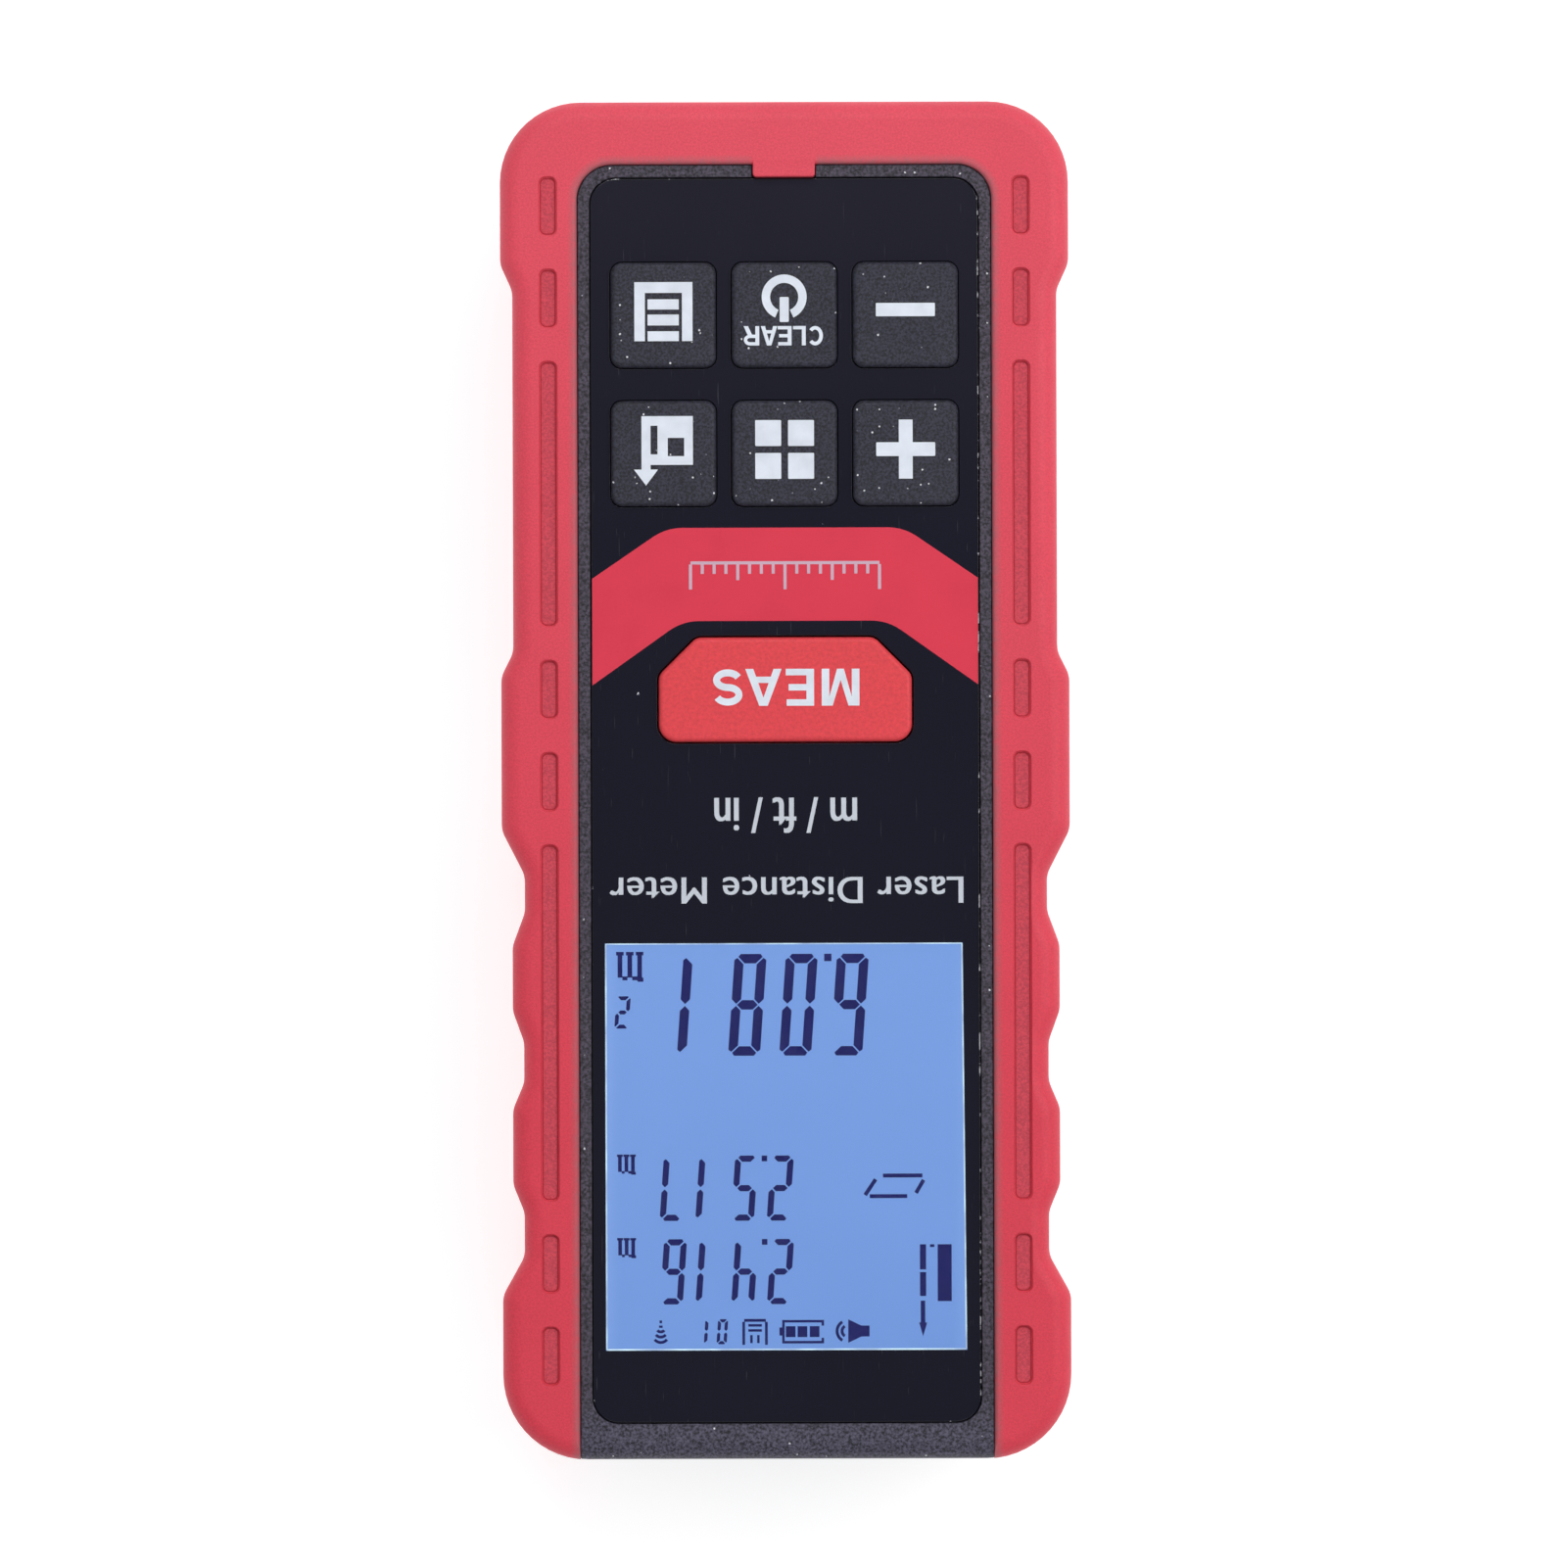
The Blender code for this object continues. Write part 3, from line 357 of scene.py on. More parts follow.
class Shader:
    """A material's or a world's main shader, and the nodes that feed it."""

    def __init__(self, owner, main="Principled BSDF", place="Object", **constants):
        owner.use_nodes = True
        self.owner, self.tree = owner, owner.node_tree
        self.main = self.tree.nodes[main]
        self.place = self.add("ShaderNodeTexCoord").outputs[place]
        self.set(**constants)

    def add(self, kind, settings=None, **inputs):
        node = self.tree.nodes.new(kind)
        for key, value in (settings or {}).items():
            setattr(node, key, value)
        return self.feed(node, **inputs)

    def feed(self, node, **inputs):
        """Gives inputs of a node a value or another node's output. _2 is the input of that number."""
        for key, value in inputs.items():
            socket = node.inputs[int(key[1:]) if key[1:].isdigit() else key.replace("_", " ")]
            if isinstance(value, bpy.types.NodeSocket):
                self.tree.links.new(value, socket)
            else:
                socket.default_value = (*value, 1) if socket.type == "RGBA" else value
        return node

    def set(self, **inputs):
        self.feed(self.main, **inputs)

    def axis(self, letter):
        return self.add("ShaderNodeSeparateXYZ", Vector=self.place).outputs[letter]

    def noise(self, size_mm, detail=2.0, roughness=0.5, along=None):
        """Noise whose features are about that many millimetres across."""
        return self.add("ShaderNodeTexNoise", Vector=along or self.place, Scale=1 / (size_mm * MM),
                        Detail=detail, Roughness=roughness).outputs["Fac"]

    def stretched(self, rotation, scale, size_mm, detail):
        """Noise drawn out into lines."""
        along = self.add("ShaderNodeMapping", Vector=self.place, Rotation=rotation, Scale=scale)
        return self.noise(size_mm, detail, along=along.outputs["Vector"])

    def spread(self, value, low, high, to_low=0.0, to_high=1.0):
        """The value mapped from between low and high to between to_low and to_high."""
        return self.add("ShaderNodeMapRange", Value=value, From_Min=low, From_Max=high,
                        To_Min=to_low, To_Max=to_high).outputs["Result"]

    def varied(self, noise, low=0.0, high=1.0):
        """Noise stretched so that it fills the range from low to high."""
        return self.spread(noise, 0.3, 0.7, low, high)

    def reckon(self, operation, first, second=0.0):
        return self.add("ShaderNodeMath", {"operation": operation}, _0=first, _1=second).outputs["Value"]

    def mix(self, share, first, second, blend="MIX"):
        return self.add("ShaderNodeMix", {"data_type": "RGBA", "blend_type": blend},
                        _0=share, _6=first, _7=second).outputs[2]

    def around(self, share, colour, amount):
        """The colour, from that much darker to that much lighter as the share rises."""
        return self.mix(share, shade(colour, -amount), shade(colour, amount))

    def bump(self, height, depth_mm, strength=1.0):
        node = self.add("ShaderNodeBump", Height=height, Distance=depth_mm * MM, Strength=strength)
        self.set(Normal=node.outputs["Normal"])

    def specks(self, spacing_mm, radius_mm, share):
        """A mask of dust specks in loose clusters, each of about that radius, in that share of cells."""
        cells = self.add("ShaderNodeTexVoronoi", Vector=self.place, Scale=1 / (spacing_mm * MM)).outputs
        ragged = self.reckon("ADD", cells["Distance"], self.varied(self.noise(0.1), -0.04, 0.04))
        reach = radius_mm / spacing_mm
        chosen = self.add("ShaderNodeSeparateColor", Color=cells["Color"]).outputs["Red"]
        clustered = self.reckon("ADD", chosen, self.varied(self.noise(4.0), -share, share))
        return self.reckon("MULTIPLY", self.spread(ragged, reach, reach * 0.6),
                           self.spread(clustered, 1 - share, 1 - share + 0.01))


def skin(name, **constants):
    return Shader(bpy.data.materials.new(name), **constants)


def seam_shade_and_grime(s):
    """A mask of the strip of rubber beside the rim of the case, greyed by dust and darkened by painted
    shade.
    """
    side = s.reckon("ABSOLUTE", s.axis("X"))
    beside = s.reckon("MAXIMUM", s.reckon("SUBTRACT", side, (RIM_HALF_WIDTH - RIM_RADIUS) * MM))
    behind = s.reckon("MAXIMUM", s.reckon("SUBTRACT", (RIM_TAIL_Y + RIM_RADIUS) * MM, s.axis("Y")))
    squares = s.reckon("ADD", s.reckon("POWER", beside, 2.0), s.reckon("POWER", behind, 2.0))
    away = s.reckon("SUBTRACT", s.reckon("SQRT", squares), RIM_RADIUS * MM)
    above = s.spread(s.axis("Z"), (SHOULDER_TOP - 1) * MM, SHOULDER_TOP * MM)
    off_the_tab = s.spread(side, TAB_HALF_WIDTH * MM, (TAB_HALF_WIDTH + 0.3) * MM)
    strip = s.reckon("MULTIPLY", s.varied(s.noise(0.6), 0.7, 1.3), s.spread(away, 0, 0.9 * MM, 0.62, 0.0))
    return s.reckon("MULTIPLY", s.reckon("MULTIPLY", above, off_the_tab), strip)


def moulded(name, colour, rough, grain_mm, grain_depth, mottle, grain_mottle, dust=None, grime_and_shade=None,
            tail_tone=None, gloss=0.5):
    """Moulded plastic or rubber: fine grain, slow colour drift and uneven gloss.

    It can have dust specks, a strip of dust and painted shade, and a tail tone (colour, y, y) that it takes
    on towards the tail.
    """
    s = skin(name, Specular_IOR_Level=gloss)
    fine = s.noise(grain_mm, 3.0, 0.6)
    grain = s.spread(fine, 0.36, 0.64)
    base = s.around(grain, colour, grain_mottle)
    if tail_tone:
        tail_colour, begins, ends = tail_tone
        tailward = s.spread(s.axis("Y"), begins * MM, ends * MM)
        base = s.mix(tailward, base, s.around(grain, tail_colour, grain_mottle))
    drift = s.mix(s.noise(9.0, 3.0), shade(WHITE, -2 * mottle), WHITE)
    base = s.mix(1.0, base, drift, "MULTIPLY")
    # The strip beside the rim mixes dust with painted shade.
    if grime_and_shade:
        base = s.mix(grime_and_shade(s), base, GRIME_AND_SHADE)
    if dust:
        base = s.mix(s.specks(*dust), base, DUST)
    s.set(Base_Color=base, Roughness=s.varied(s.noise(3.0, 4.0), rough - 0.05, rough + 0.05))
    s.bump(fine, grain_depth)
    return s.owner


def polished(name, colour, tail_colour, dust):
    """Polished plastic with sparse scratches, faint smears and dust specks. It turns a little lighter
    towards the tail.
    """
    s = skin(name)
    scratches = 0.0
    for angle, reach in ((0.07, 0.03), (-0.5, 0.05), (0.9, 0.06)):
        lines = s.spread(s.stretched((0, 0, angle), (1, reach, 1), 0.16, 1.0), 0.765, 0.81)
        scratches = s.reckon("MAXIMUM", lines, scratches)
    smears = s.noise(12.0, 4.0)
    base = s.mix(s.spread(s.axis("Y"), -20 * MM, FACE_LOW.y * MM), colour, tail_colour)
    base = s.mix(1.0, base, s.mix(smears, (0.85, 0.85, 0.85), WHITE), "MULTIPLY")
    base = s.mix(s.reckon("MULTIPLY", scratches, 0.5), base, (0.06, 0.06, 0.072))
    base = s.mix(s.specks(*dust), base, (0.7, 0.72, 0.78))
    s.set(Base_Color=base, Roughness=s.spread(smears, 0.3, 0.75, 0.05, 0.11))
    s.bump(scratches, 0.004, 0.4)
    return s.owner


def metal(name, colour, rough, stretch=WHITE):
    """Machined or plated metal with fine lines along one direction and tarnish."""
    s = skin(name, Metallic=1.0)
    tarnish = s.noise(2.5, 4.0)
    s.set(Base_Color=s.mix(tarnish, shade(colour, -0.18), shade(colour, 0.1)),
          Roughness=s.varied(tarnish, rough - 0.06, rough + 0.08))
    s.bump(s.stretched((0, 0, 0), stretch, 0.12, 2.0), 0.004, 0.5)
    return s.owner


def painted_edge_highlight():
    """The cut edge of the black face panel: dark, with a broken bright line of painted highlight, most of
    all on its left.
    """
    s = skin("face_edge_highlight", Roughness=0.2)
    bias = s.spread(s.axis("X"), -16.5 * MM, -15.5 * MM, 0.115, -0.03)
    level = s.reckon("ADD", s.noise(0.8, 3.0), bias)
    level = s.reckon("ADD", level, s.varied(s.noise(5.0), -0.16, 0.12))
    s.set(Base_Color=s.mix(s.spread(level, 0.67, 0.76), (0.008, 0.008, 0.012), (0.7, 0.7, 0.74)))
    return s.owner


def printed(name, colour, rough=0.45, patch_mm=5.0, uneven=0.05):
    """Printed ink: nearly even, with the small density changes of a screen print."""
    s = skin(name)
    fine = s.noise(0.25, 3.0)
    drift = s.around(s.varied(s.noise(patch_mm)), colour, uneven)
    s.set(Base_Color=s.mix(0.35, drift, s.around(fine, colour, 0.07)),
          Roughness=s.varied(fine, rough - 0.04, rough + 0.04))
    return s.owner


def clear_glass(name, tint, **constants):
    """Glass or clear acrylic with a faint film of smears."""
    s = skin(name, Base_Color=tint, Transmission_Weight=1.0, IOR=1.49, **constants)
    s.set(Roughness=s.spread(s.noise(6.0, 4.0), 0.4, 0.8, 0.0, 0.03))
    return s.owner


def screen_light():
    """The backlit screen: a soft blue glow that is stronger near its lamps and along its edges."""
    s = skin("screen_glow", Roughness=0.4, Specular_IOR_Level=0.1, Base_Color=(0.02, 0.04, 0.09),
             Emission_Strength=0.93)
    tailward = s.spread(s.axis("Y"), SCREEN_NOSE_Y * MM, SCREEN_TAIL_Y * MM)
    glow = s.mix(tailward, (0.178, 0.335, 0.76), (0.205, 0.372, 0.815))
    glow = s.mix(s.varied(s.noise(11.0), 0, 0.25), glow, (0.215, 0.385, 0.84))
    side = s.reckon("ABSOLUTE", s.axis("X"))
    edge = s.spread(side, (SCREEN_RIGHT - 1.3) * MM, SCREEN_RIGHT * MM, 0.0, 0.3)
    s.set(Emission_Color=s.mix(edge, glow, (0.30, 0.47, 0.90)))
    return s.owner


def glowing(name, colour, strength, drift=0.1):
    """A part of the screen that passes a fixed colour of its backlight."""
    s = skin(name, Base_Color=shade(colour, -0.7), Roughness=0.4, Emission_Strength=strength)
    s.set(Emission_Color=s.around(s.spread(s.noise(2.5), 0.35, 0.65), colour, drift))
    return s.owner


def circuit_board():
    """Green solder mask over copper tracks, with plated holes."""
    s = skin("board_mask", Specular_IOR_Level=0.5, Coat_Weight=0.3)
    tracks = s.add("ShaderNodeTexBrick", {"offset": 0.37}, Vector=s.place, Scale=1 / (3.1 * MM),
                   Mortar_Size=0.06, Mortar_Smooth=0.1).outputs["Fac"]
    holes = s.add("ShaderNodeTexVoronoi", Vector=s.place, Scale=1 / (2.6 * MM)).outputs["Distance"]
    pads = s.spread(holes, 0.16, 0.13)
    base = s.mix(tracks, (0.012, 0.11, 0.04), (0.03, 0.2, 0.075))
    s.set(Base_Color=s.mix(pads, base, (0.62, 0.5, 0.22)), Roughness=s.spread(pads, 0, 1, 0.38, 0.28))
    s.bump(tracks, 0.02, 0.5)
    return s.owner


def cell_skin():
    """A battery's printed wrap."""
    s = skin("cell_wrap_print", Coat_Weight=0.6, Coat_Roughness=0.15)
    base = s.mix(s.noise(4.0, 4.0), (0.012, 0.035, 0.075), (0.02, 0.055, 0.11))
    s.set(Base_Color=s.mix(0.1, base, (0.0208, 0.0585, 0.117)),
          Roughness=s.varied(s.noise(0.3), 0.26, 0.36))
    return s.owner


# The rubber's tail tone is painted light and sheen: it turns lighter and paler towards the tail.
RUBBER = moulded("rubber_skin", (0.762, 0.0513, 0.0848), 0.55, 0.17, 0.012, 0.06, 0.075, grime_and_shade=seam_shade_and_grime,
                 tail_tone=((0.813, 0.0767, 0.1168), 30, -HALF_LENGTH), gloss=0.35)
# Darker rubber for the slots' floors and the creases round them: painted shade in the recesses.
SLOT_FLOOR_SHADE = moulded("rubber_slot_shade", (0.605, 0.063, 0.094), 0.66, 0.2, 0.025, 0.03, 0.17, gloss=0.3)
SLOT_EDGE_SHADE = moulded("rubber_slot_edge_shade", (0.44, 0.026, 0.044), 0.65, 0.2, 0.01, 0.03, 0.1, gloss=0.25)
# The shell takes its darker tail tone everywhere but near the nose, which stays lighter and bluer.
SHELL = moulded("shell_skin", (0.066, 0.061, 0.092), 0.6, 0.24, 0.03, 0.08, 0.8, (0.8, 0.1, 0.16),
                tail_tone=((0.052, 0.043, 0.063), FACE_HIGH.y + 1, FACE_HIGH.y - 3), gloss=0.4)
KEY_SKIN = moulded("key_skin", (0.0243, 0.0243, 0.0405), 0.6, 0.22, 0.02, 0.1, 0.65, (0.62, 0.105, 0.2),
                   gloss=0.4)
MEASURE_SKIN = moulded("measure_skin", (0.79, 0.058, 0.072), 0.5, 0.3, 0.014, 0.03, 0.08, (1.6, 0.05, 0.05),
                       gloss=0.35)
FACE_SKIN = polished("face_skin", (0.0108, 0.0108, 0.0212), (0.0182, 0.0172, 0.029), (3.2, 0.07, 0.09))
FACE_EDGE_HIGHLIGHT = painted_edge_highlight()
CHEVRON_INK = printed("chevron_ink", (0.76, 0.055, 0.091), 0.16)
TEXT_INK = printed("text_ink", (0.6, 0.64, 0.7))
ICON_INK = printed("icon_ink", (0.76, 0.81, 0.89), 0.45, 1.8, 0.1)
ICON_SHADOW = printed("icon_shadow", (0.008, 0.008, 0.011))
MARK_INK = printed("mark_ink", (0.62, 0.42, 0.52))
RULE_INK = printed("rule_ink", (0.03, 0.03, 0.035))
SCREEN_GLOW = screen_light()
SCREEN_EDGE = glowing("screen_edge_glow", (0.5, 0.68, 0.97), 0.95, 0.3)
SEGMENT = glowing("segment_dark", (0.002, 0.003, 0.1), 0.9)
COVER_GLASS = clear_glass("cover_glass", WHITE)
LENS_GLASS = clear_glass("lens_glass_coated", (0.86, 0.9, 1.0), Coat_Weight=0.5, Coat_Tint=(0.6, 0.5, 1))
EMITTER_GLASS = clear_glass("emitter_glass", (1.0, 0.75, 0.75))
STEEL = metal("plated_steel", (0.62, 0.62, 0.64), 0.28)
DARK_STEEL = metal("blackened_steel", (0.14, 0.14, 0.15), 0.36)
BRASS = metal("turned_brass", (0.72, 0.5, 0.2), 0.26, (0.05, 1, 0.05))
ALUMINIUM = metal("cast_alloy", (0.42, 0.42, 0.43), 0.45)
BOARD = circuit_board()
CELL_WRAP = cell_skin()
CHIP = moulded("chip_epoxy", (0.012, 0.012, 0.013), 0.45, 0.1, 0.006, 0.1, 0.15)
WHITE_PLASTIC = moulded("white_moulding", (0.72, 0.72, 0.7), 0.45, 0.3, 0.008, 0.03, 0.03)
SILICONE = moulded("silicone_rubber", (0.22, 0.22, 0.23), 0.6, 0.25, 0.01, 0.06, 0.06)
POLYIMIDE = moulded("polyimide_film", (0.5, 0.2, 0.03), 0.35, 0.5, 0.004, 0.1, 0.08)
FOIL = moulded("label_film", (0.42, 0.42, 0.44), 0.42, 0.2, 0.002, 0.06, 0.05)


# ---- finished pieces

def finish(obj, name, material, node=None, body="case", flat=False):
    """Names a piece, gives it its material and slot, shades it, and hangs it on its CAD body."""
    obj.name = obj.data.name = name
    obj.data.materials.clear()
    obj.data.materials.append(material)
    if not flat:
        obj.data.shade_smooth()
        obj.data.set_sharp_from_angle(angle=CREASE)
        obj.modifiers.new("even_shading", "WEIGHTED_NORMAL").keep_sharp = True
    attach(obj, body)
    if node:
        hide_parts(node)


def inlay(name, outlines, material, z, thick=INK, body="case"):
    """Thin printed shapes lying on a surface at that height."""
    solids = [prism(outline, z, z + thick + STAGGER * (k % 3)) for k, outline in enumerate(outlines)]
    finish(together(solids), name, material, body=body, flat=True)


# ---- case and bumpers

def bumper_outline():
    wave = (
        (HALF_WIDTH, -44.9), (HANDLE_HALF_WIDTH, -42.6), (HANDLE_HALF_WIDTH, -11.2), (HALF_WIDTH, -9.1),
        (HALF_WIDTH, 4.3), (TROUGH_HALF_WIDTH - 0.1, 8.2), (TROUGH_HALF_WIDTH - 0.1, 11.4),
        (CREST_HALF_WIDTH, 14.3), (CREST_HALF_WIDTH, 20.0), (TROUGH_HALF_WIDTH, 22.7),
        (TROUGH_HALF_WIDTH, 26.2), (CREST_HALF_WIDTH, 28.5), (CREST_HALF_WIDTH, 35.1),
        (TROUGH_HALF_WIDTH, 37.5), (TROUGH_HALF_WIDTH, 41.3), (HALF_WIDTH, 44.7),
    )
    side = [(HALF_WIDTH, -HALF_LENGTH, TAIL_RADIUS)]
    side += [(x, y, WAVE_RADIUS) for x, y in wave]
    side += [(HALF_WIDTH, HALF_LENGTH, NOSE_RADIUS)]
    return rounded(mirrored(side))


def front_envelope(top, parting=PARTING):
    levels = [(parting, FRONT_LOW), (0.03, FRONT_LOW + parting)] + fillet(top, EDGE_RADIUS, 1, steps=8)
    return loft(bumper_outline(), levels)


def rear_envelope(bottom, parting=PARTING):
    levels = fillet(bottom, EDGE_RADIUS, -1, steps=8)[::-1]
    return loft(bumper_outline(), levels + [(0.03, REAR_HIGH - parting), (parting, REAR_HIGH)])


def core_outline(grow=0.0):
    return centred(CORE_HALF_WIDTH + grow, CORE_TAIL_Y - grow, CORE_NOSE_Y + grow, CORE_RADIUS + grow)


def rim_outline(grow=0.0):
    half = RIM_HALF_WIDTH + grow
    return rounded(mirrored([(half, RIM_TAIL_Y - grow, RIM_RADIUS + grow), (half, HALF_LENGTH + 2, 0)]))


def back_outline(grow=0.0):
    return centred(BACK_HALF_WIDTH + grow, BACK_TAIL_Y - grow, BACK_NOSE_Y + grow, BACK_RADIUS + grow)


def key_outline(name, grow=0.0):
    (low, high), (x, y) = cad(name), middle_of(name)
    half = (high.x - low.x) / 2 - KEY_LIP + grow
    return rectangle(x - half, x + half, y - half, y + half, KEY_RADIUS + grow)


def measure_outline(grow=0.0):
    chamfer = 3.3
    half, tail, nose = MEASURE_HIGH.x - KEY_LIP, MEASURE_LOW.y + KEY_LIP, MEASURE_HIGH.y - KEY_LIP
    side = [(half - chamfer, tail, 1.2), (half, tail + chamfer, 1.2), (half, nose, 1.6)]
    return inset(rounded(mirrored(side)), -grow)


def key_mouths(high, radius):
    """Cutters for the seven key openings, whose mouths are rounded over."""
    outlines = [key_outline(name, KEY_CLEARANCE) for name in KEY_NAMES] + [measure_outline(KEY_CLEARANCE)]
    return [loft(outline, [(0, INSIDE_Z)] + flare(high, radius, 1)) for outline in outlines]


def nose_cutters():
    outline = centred(PLATE_HIGH.x + GAP, PLATE_LOW.z - GAP, PLATE_HIGH.z + GAP, 1.5)
    yield facing_nose(loft(outline, [(0, PLATE_LOW.y - GAP)] + flare(HALF_LENGTH, 0.25, 1)))
    for x, radius in ((EMITTER_X, EMITTER_BORE), (RECEIVER_X, RECEIVER_BORE)):
        yield turned([(radius, BORE_TAIL_Y), (radius, HALF_LENGTH)], x)


def make_front_housing():
    rim = loft(rim_outline(), [(0, SPLIT_Z - 2)] + fillet(RIM_TOP, 0.12, 1))
    core = join(prism(core_outline(), SPLIT_Z - 3, SHOULDER_TOP), rim)
    shell = boolean(front_envelope(RIM_TOP, FINE_PARTING), "INTERSECT", [core])
    recess = footprint("faceplate", SEAM, FACE_RADIUS)
    recess_floor, notch_half = FACE_LOW.z - 0.1, TAB_HALF_WIDTH + 0.1
    cut(
        shell, prism(core_outline(-WALL), ROOM_LOW, ROOM_TOP),
        loft(recess, [(0, recess_floor)] + flare(RIM_TOP, 0.08, 1)),
        prism(centred(16.4, SCREEN_TAIL_Y - 0.8, SCREEN_NOSE_Y + 0.6, 0.8), INSIDE_Z, HEIGHT),
        box(-notch_half, notch_half, RIM_TAIL_Y - 1, FACE_LOW.y + 0.5, recess_floor, HEIGHT + 1),
        *key_mouths(HEIGHT, 0.05), *nose_cutters(),
    )
    finish(shell, "front_shell", SHELL, "front_housing")


def slot_outlines():
    half = SLOT_WIDTH / 2
    for x in (-SLOT_X, SLOT_X):
        tail = SLOT_TAIL_Y
        for length in SLOT_LENGTHS:
            yield rectangle(x - half, x + half, tail, tail + length, 0.6)
            tail += length + SLOT_SPACE


def make_front_bumper():
    rim = loft(rim_outline(SEAM), [(0, SPLIT_Z - 3), *flare(HEIGHT, 0.4, 1)])
    shoulder = prism(core_outline(GAP), SPLIT_Z - 2, SHOULDER_TOP + GAP)
    rubber = cut(front_envelope(HEIGHT), join(shoulder, rim))
    tab = rectangle(-TAB_HALF_WIDTH, TAB_HALF_WIDTH, RIM_TAIL_Y - 1.2, FACE_LOW.y - SEAM, 0.3)
    join(rubber, loft(tab, [(0, FACE_LOW.z)] + fillet(HEIGHT - 0.01, 0.15, 1)))
    floor = HEIGHT - SLOT_DEPTH
    slot = [(0.12, floor), (0.03, floor + 0.04), (0, floor + 0.12)] + flare(HEIGHT, 0.1, 1)
    cut(rubber, *[loft(outline, slot) for outline in slot_outlines()])
    finish(rubber, "front_rubber", RUBBER, "front_bumper")
    # Thin sheets of darker rubber on the slot floors paint the shade in the recesses, darkest round their
    # edges.
    for name, material, within, low, high in (("grip_slot_floor_shade", SLOT_FLOOR_SHADE, 0.2, 0.01, 0.03),
                                              ("grip_slot_edge_shade", SLOT_EDGE_SHADE, 0.04, 0.005, 0.015)):
        shade_lining = [prism(inset(outline, within), floor + low, floor + high) for outline in slot_outlines()]
        finish(together(shade_lining), name, material)


def make_rear_bumper():
    core = prism(core_outline(GAP), FLOOR - GAP, SPLIT_Z + 3)
    back = loft(back_outline(GAP), [(-0.4, -1)] + flare(0, 0.4, -1)[:-1][::-1] + [(0, SPLIT_Z + 2)])
    half = RIM_HALF_WIDTH + GAP
    nose = box(-half, half, 0, HALF_LENGTH + 2, -2, SPLIT_Z + 1)
    rubber = cut(rear_envelope(0), join(core, back, nose))
    finish(rubber, "rear_rubber", RUBBER, "rear_bumper")


# ---- face, screen and keys

def screen_window(grow=0.0):
    corners = [(SCREEN_RIGHT, SCREEN_TAIL_Y, 0), (SCREEN_RIGHT, SCREEN_NOSE_Y, 0),
               (SCREEN_LEFT_AT_NOSE, SCREEN_NOSE_Y, 0), (SCREEN_LEFT_AT_TAIL, SCREEN_TAIL_Y, 0)]
    return inset(rounded(corners), -grow)


def make_faceplate():
    top, edge = FACE_HIGH.z, 0.2
    plate = cut(
        loft(footprint("faceplate", 0, FACE_RADIUS), [(0, FACE_LOW.z)] + fillet(top, 0.12, 1)),
        prism(screen_window(), INSIDE_Z, HEIGHT + 1), *key_mouths(top, 0.07),
    )
    finish(plate, "face_panel", FACE_SKIN, "faceplate")
    plate.data.materials.append(FACE_EDGE_HIGHLIGHT)
    # Sloping faces along the panel's outer edge and below the measuring key take the painted highlight.
    for face in plate.data.polygons:
        x, y = face.center.x / MM, face.center.y / MM
        outer = abs(x) > FACE_HIGH.x - edge or y < FACE_LOW.y + edge or y > FACE_HIGH.y - edge
        below_measure = abs(x) < MEASURE_HIGH.x and MEASURE_LOW.y < y < MEASURE_LOW.y + 4
        sloping = 0.2 < face.normal.z < 0.99 and face.center.z > (top - 0.13) * MM
        if sloping and (outer or below_measure):
            face.material_index = 1
    lens = prism(inset(screen_window(), 0.015), SCREEN_Z + 0.12, top)
    finish(lens, "screen_cover", COVER_GLASS, flat=True)


def make_chevron():
    """The printed red band below the measuring key, and a plain scale mark on it."""
    half = FACE_HIGH.x - 0.12
    right = [(10.3, -21.95, 4.5), (half, -17.55, 0), (half, -8.3, 0), (8.9, -13.86, 4.5)]
    inlay("face_band", [rounded(mirrored(right))], CHEVRON_INK, FACE_HIGH.z)
    half_line, left, end, y = 0.135, -8.2, 8.2, -18.9
    marks = [rectangle(left, end, y - half_line, y + half_line)]
    for k in range(17):
        x = left + (end - left) * k / 16
        tall = 2.3 if k % 8 == 0 else 1.5 if k % 4 == 0 else 0.95
        marks.append(rectangle(x - half_line, x + half_line, y + half_line, y + tall))
    inlay("band_scale_mark", marks, MARK_INK, FACE_HIGH.z + INK)


def lettering(name, words, centre, width, cap_height, bold, spacing=1.0):
    """Flat lettering of that width and capital height on the face, struck twice, that far apart."""
    curve = bpy.data.curves.new(name, "FONT")
    curve.body = words
    curve.size = 1.0
    curve.space_character = spacing
    curve.resolution_u = 6
    text = linked(curve)
    graph = bpy.context.evaluated_depsgraph_get()
    struck = bpy.data.meshes.new_from_object(text.evaluated_get(graph))
    bpy.data.objects.remove(text)
    xs, ys = [v.co.x for v in struck.vertices], [v.co.y for v in struck.vertices]
    middle = Vector(((min(xs) + max(xs)) / 2, (min(ys) + max(ys)) / 2, 0))
    scale = Vector(((width - bold) / (max(xs) - min(xs)), cap_height / (max(ys) - min(ys)), 1))
    for vertex in struck.vertices:
        place = (vertex.co - middle) * scale
        vertex.co = Vector((centre[0] + place.x, centre[1] + place.y, FACE_HIGH.z + INK)) * MM
    bm = bmesh.new()
    for shift, lift in ((-bold / 2, 0), (bold / 2, 0.008)):
        before = len(bm.verts)
        bm.from_mesh(struck)
        bmesh.ops.translate(bm, vec=(shift * MM, 0, lift * MM), verts=bm.verts[before:])
    finish(object_from(bm), name, TEXT_INK, flat=True)


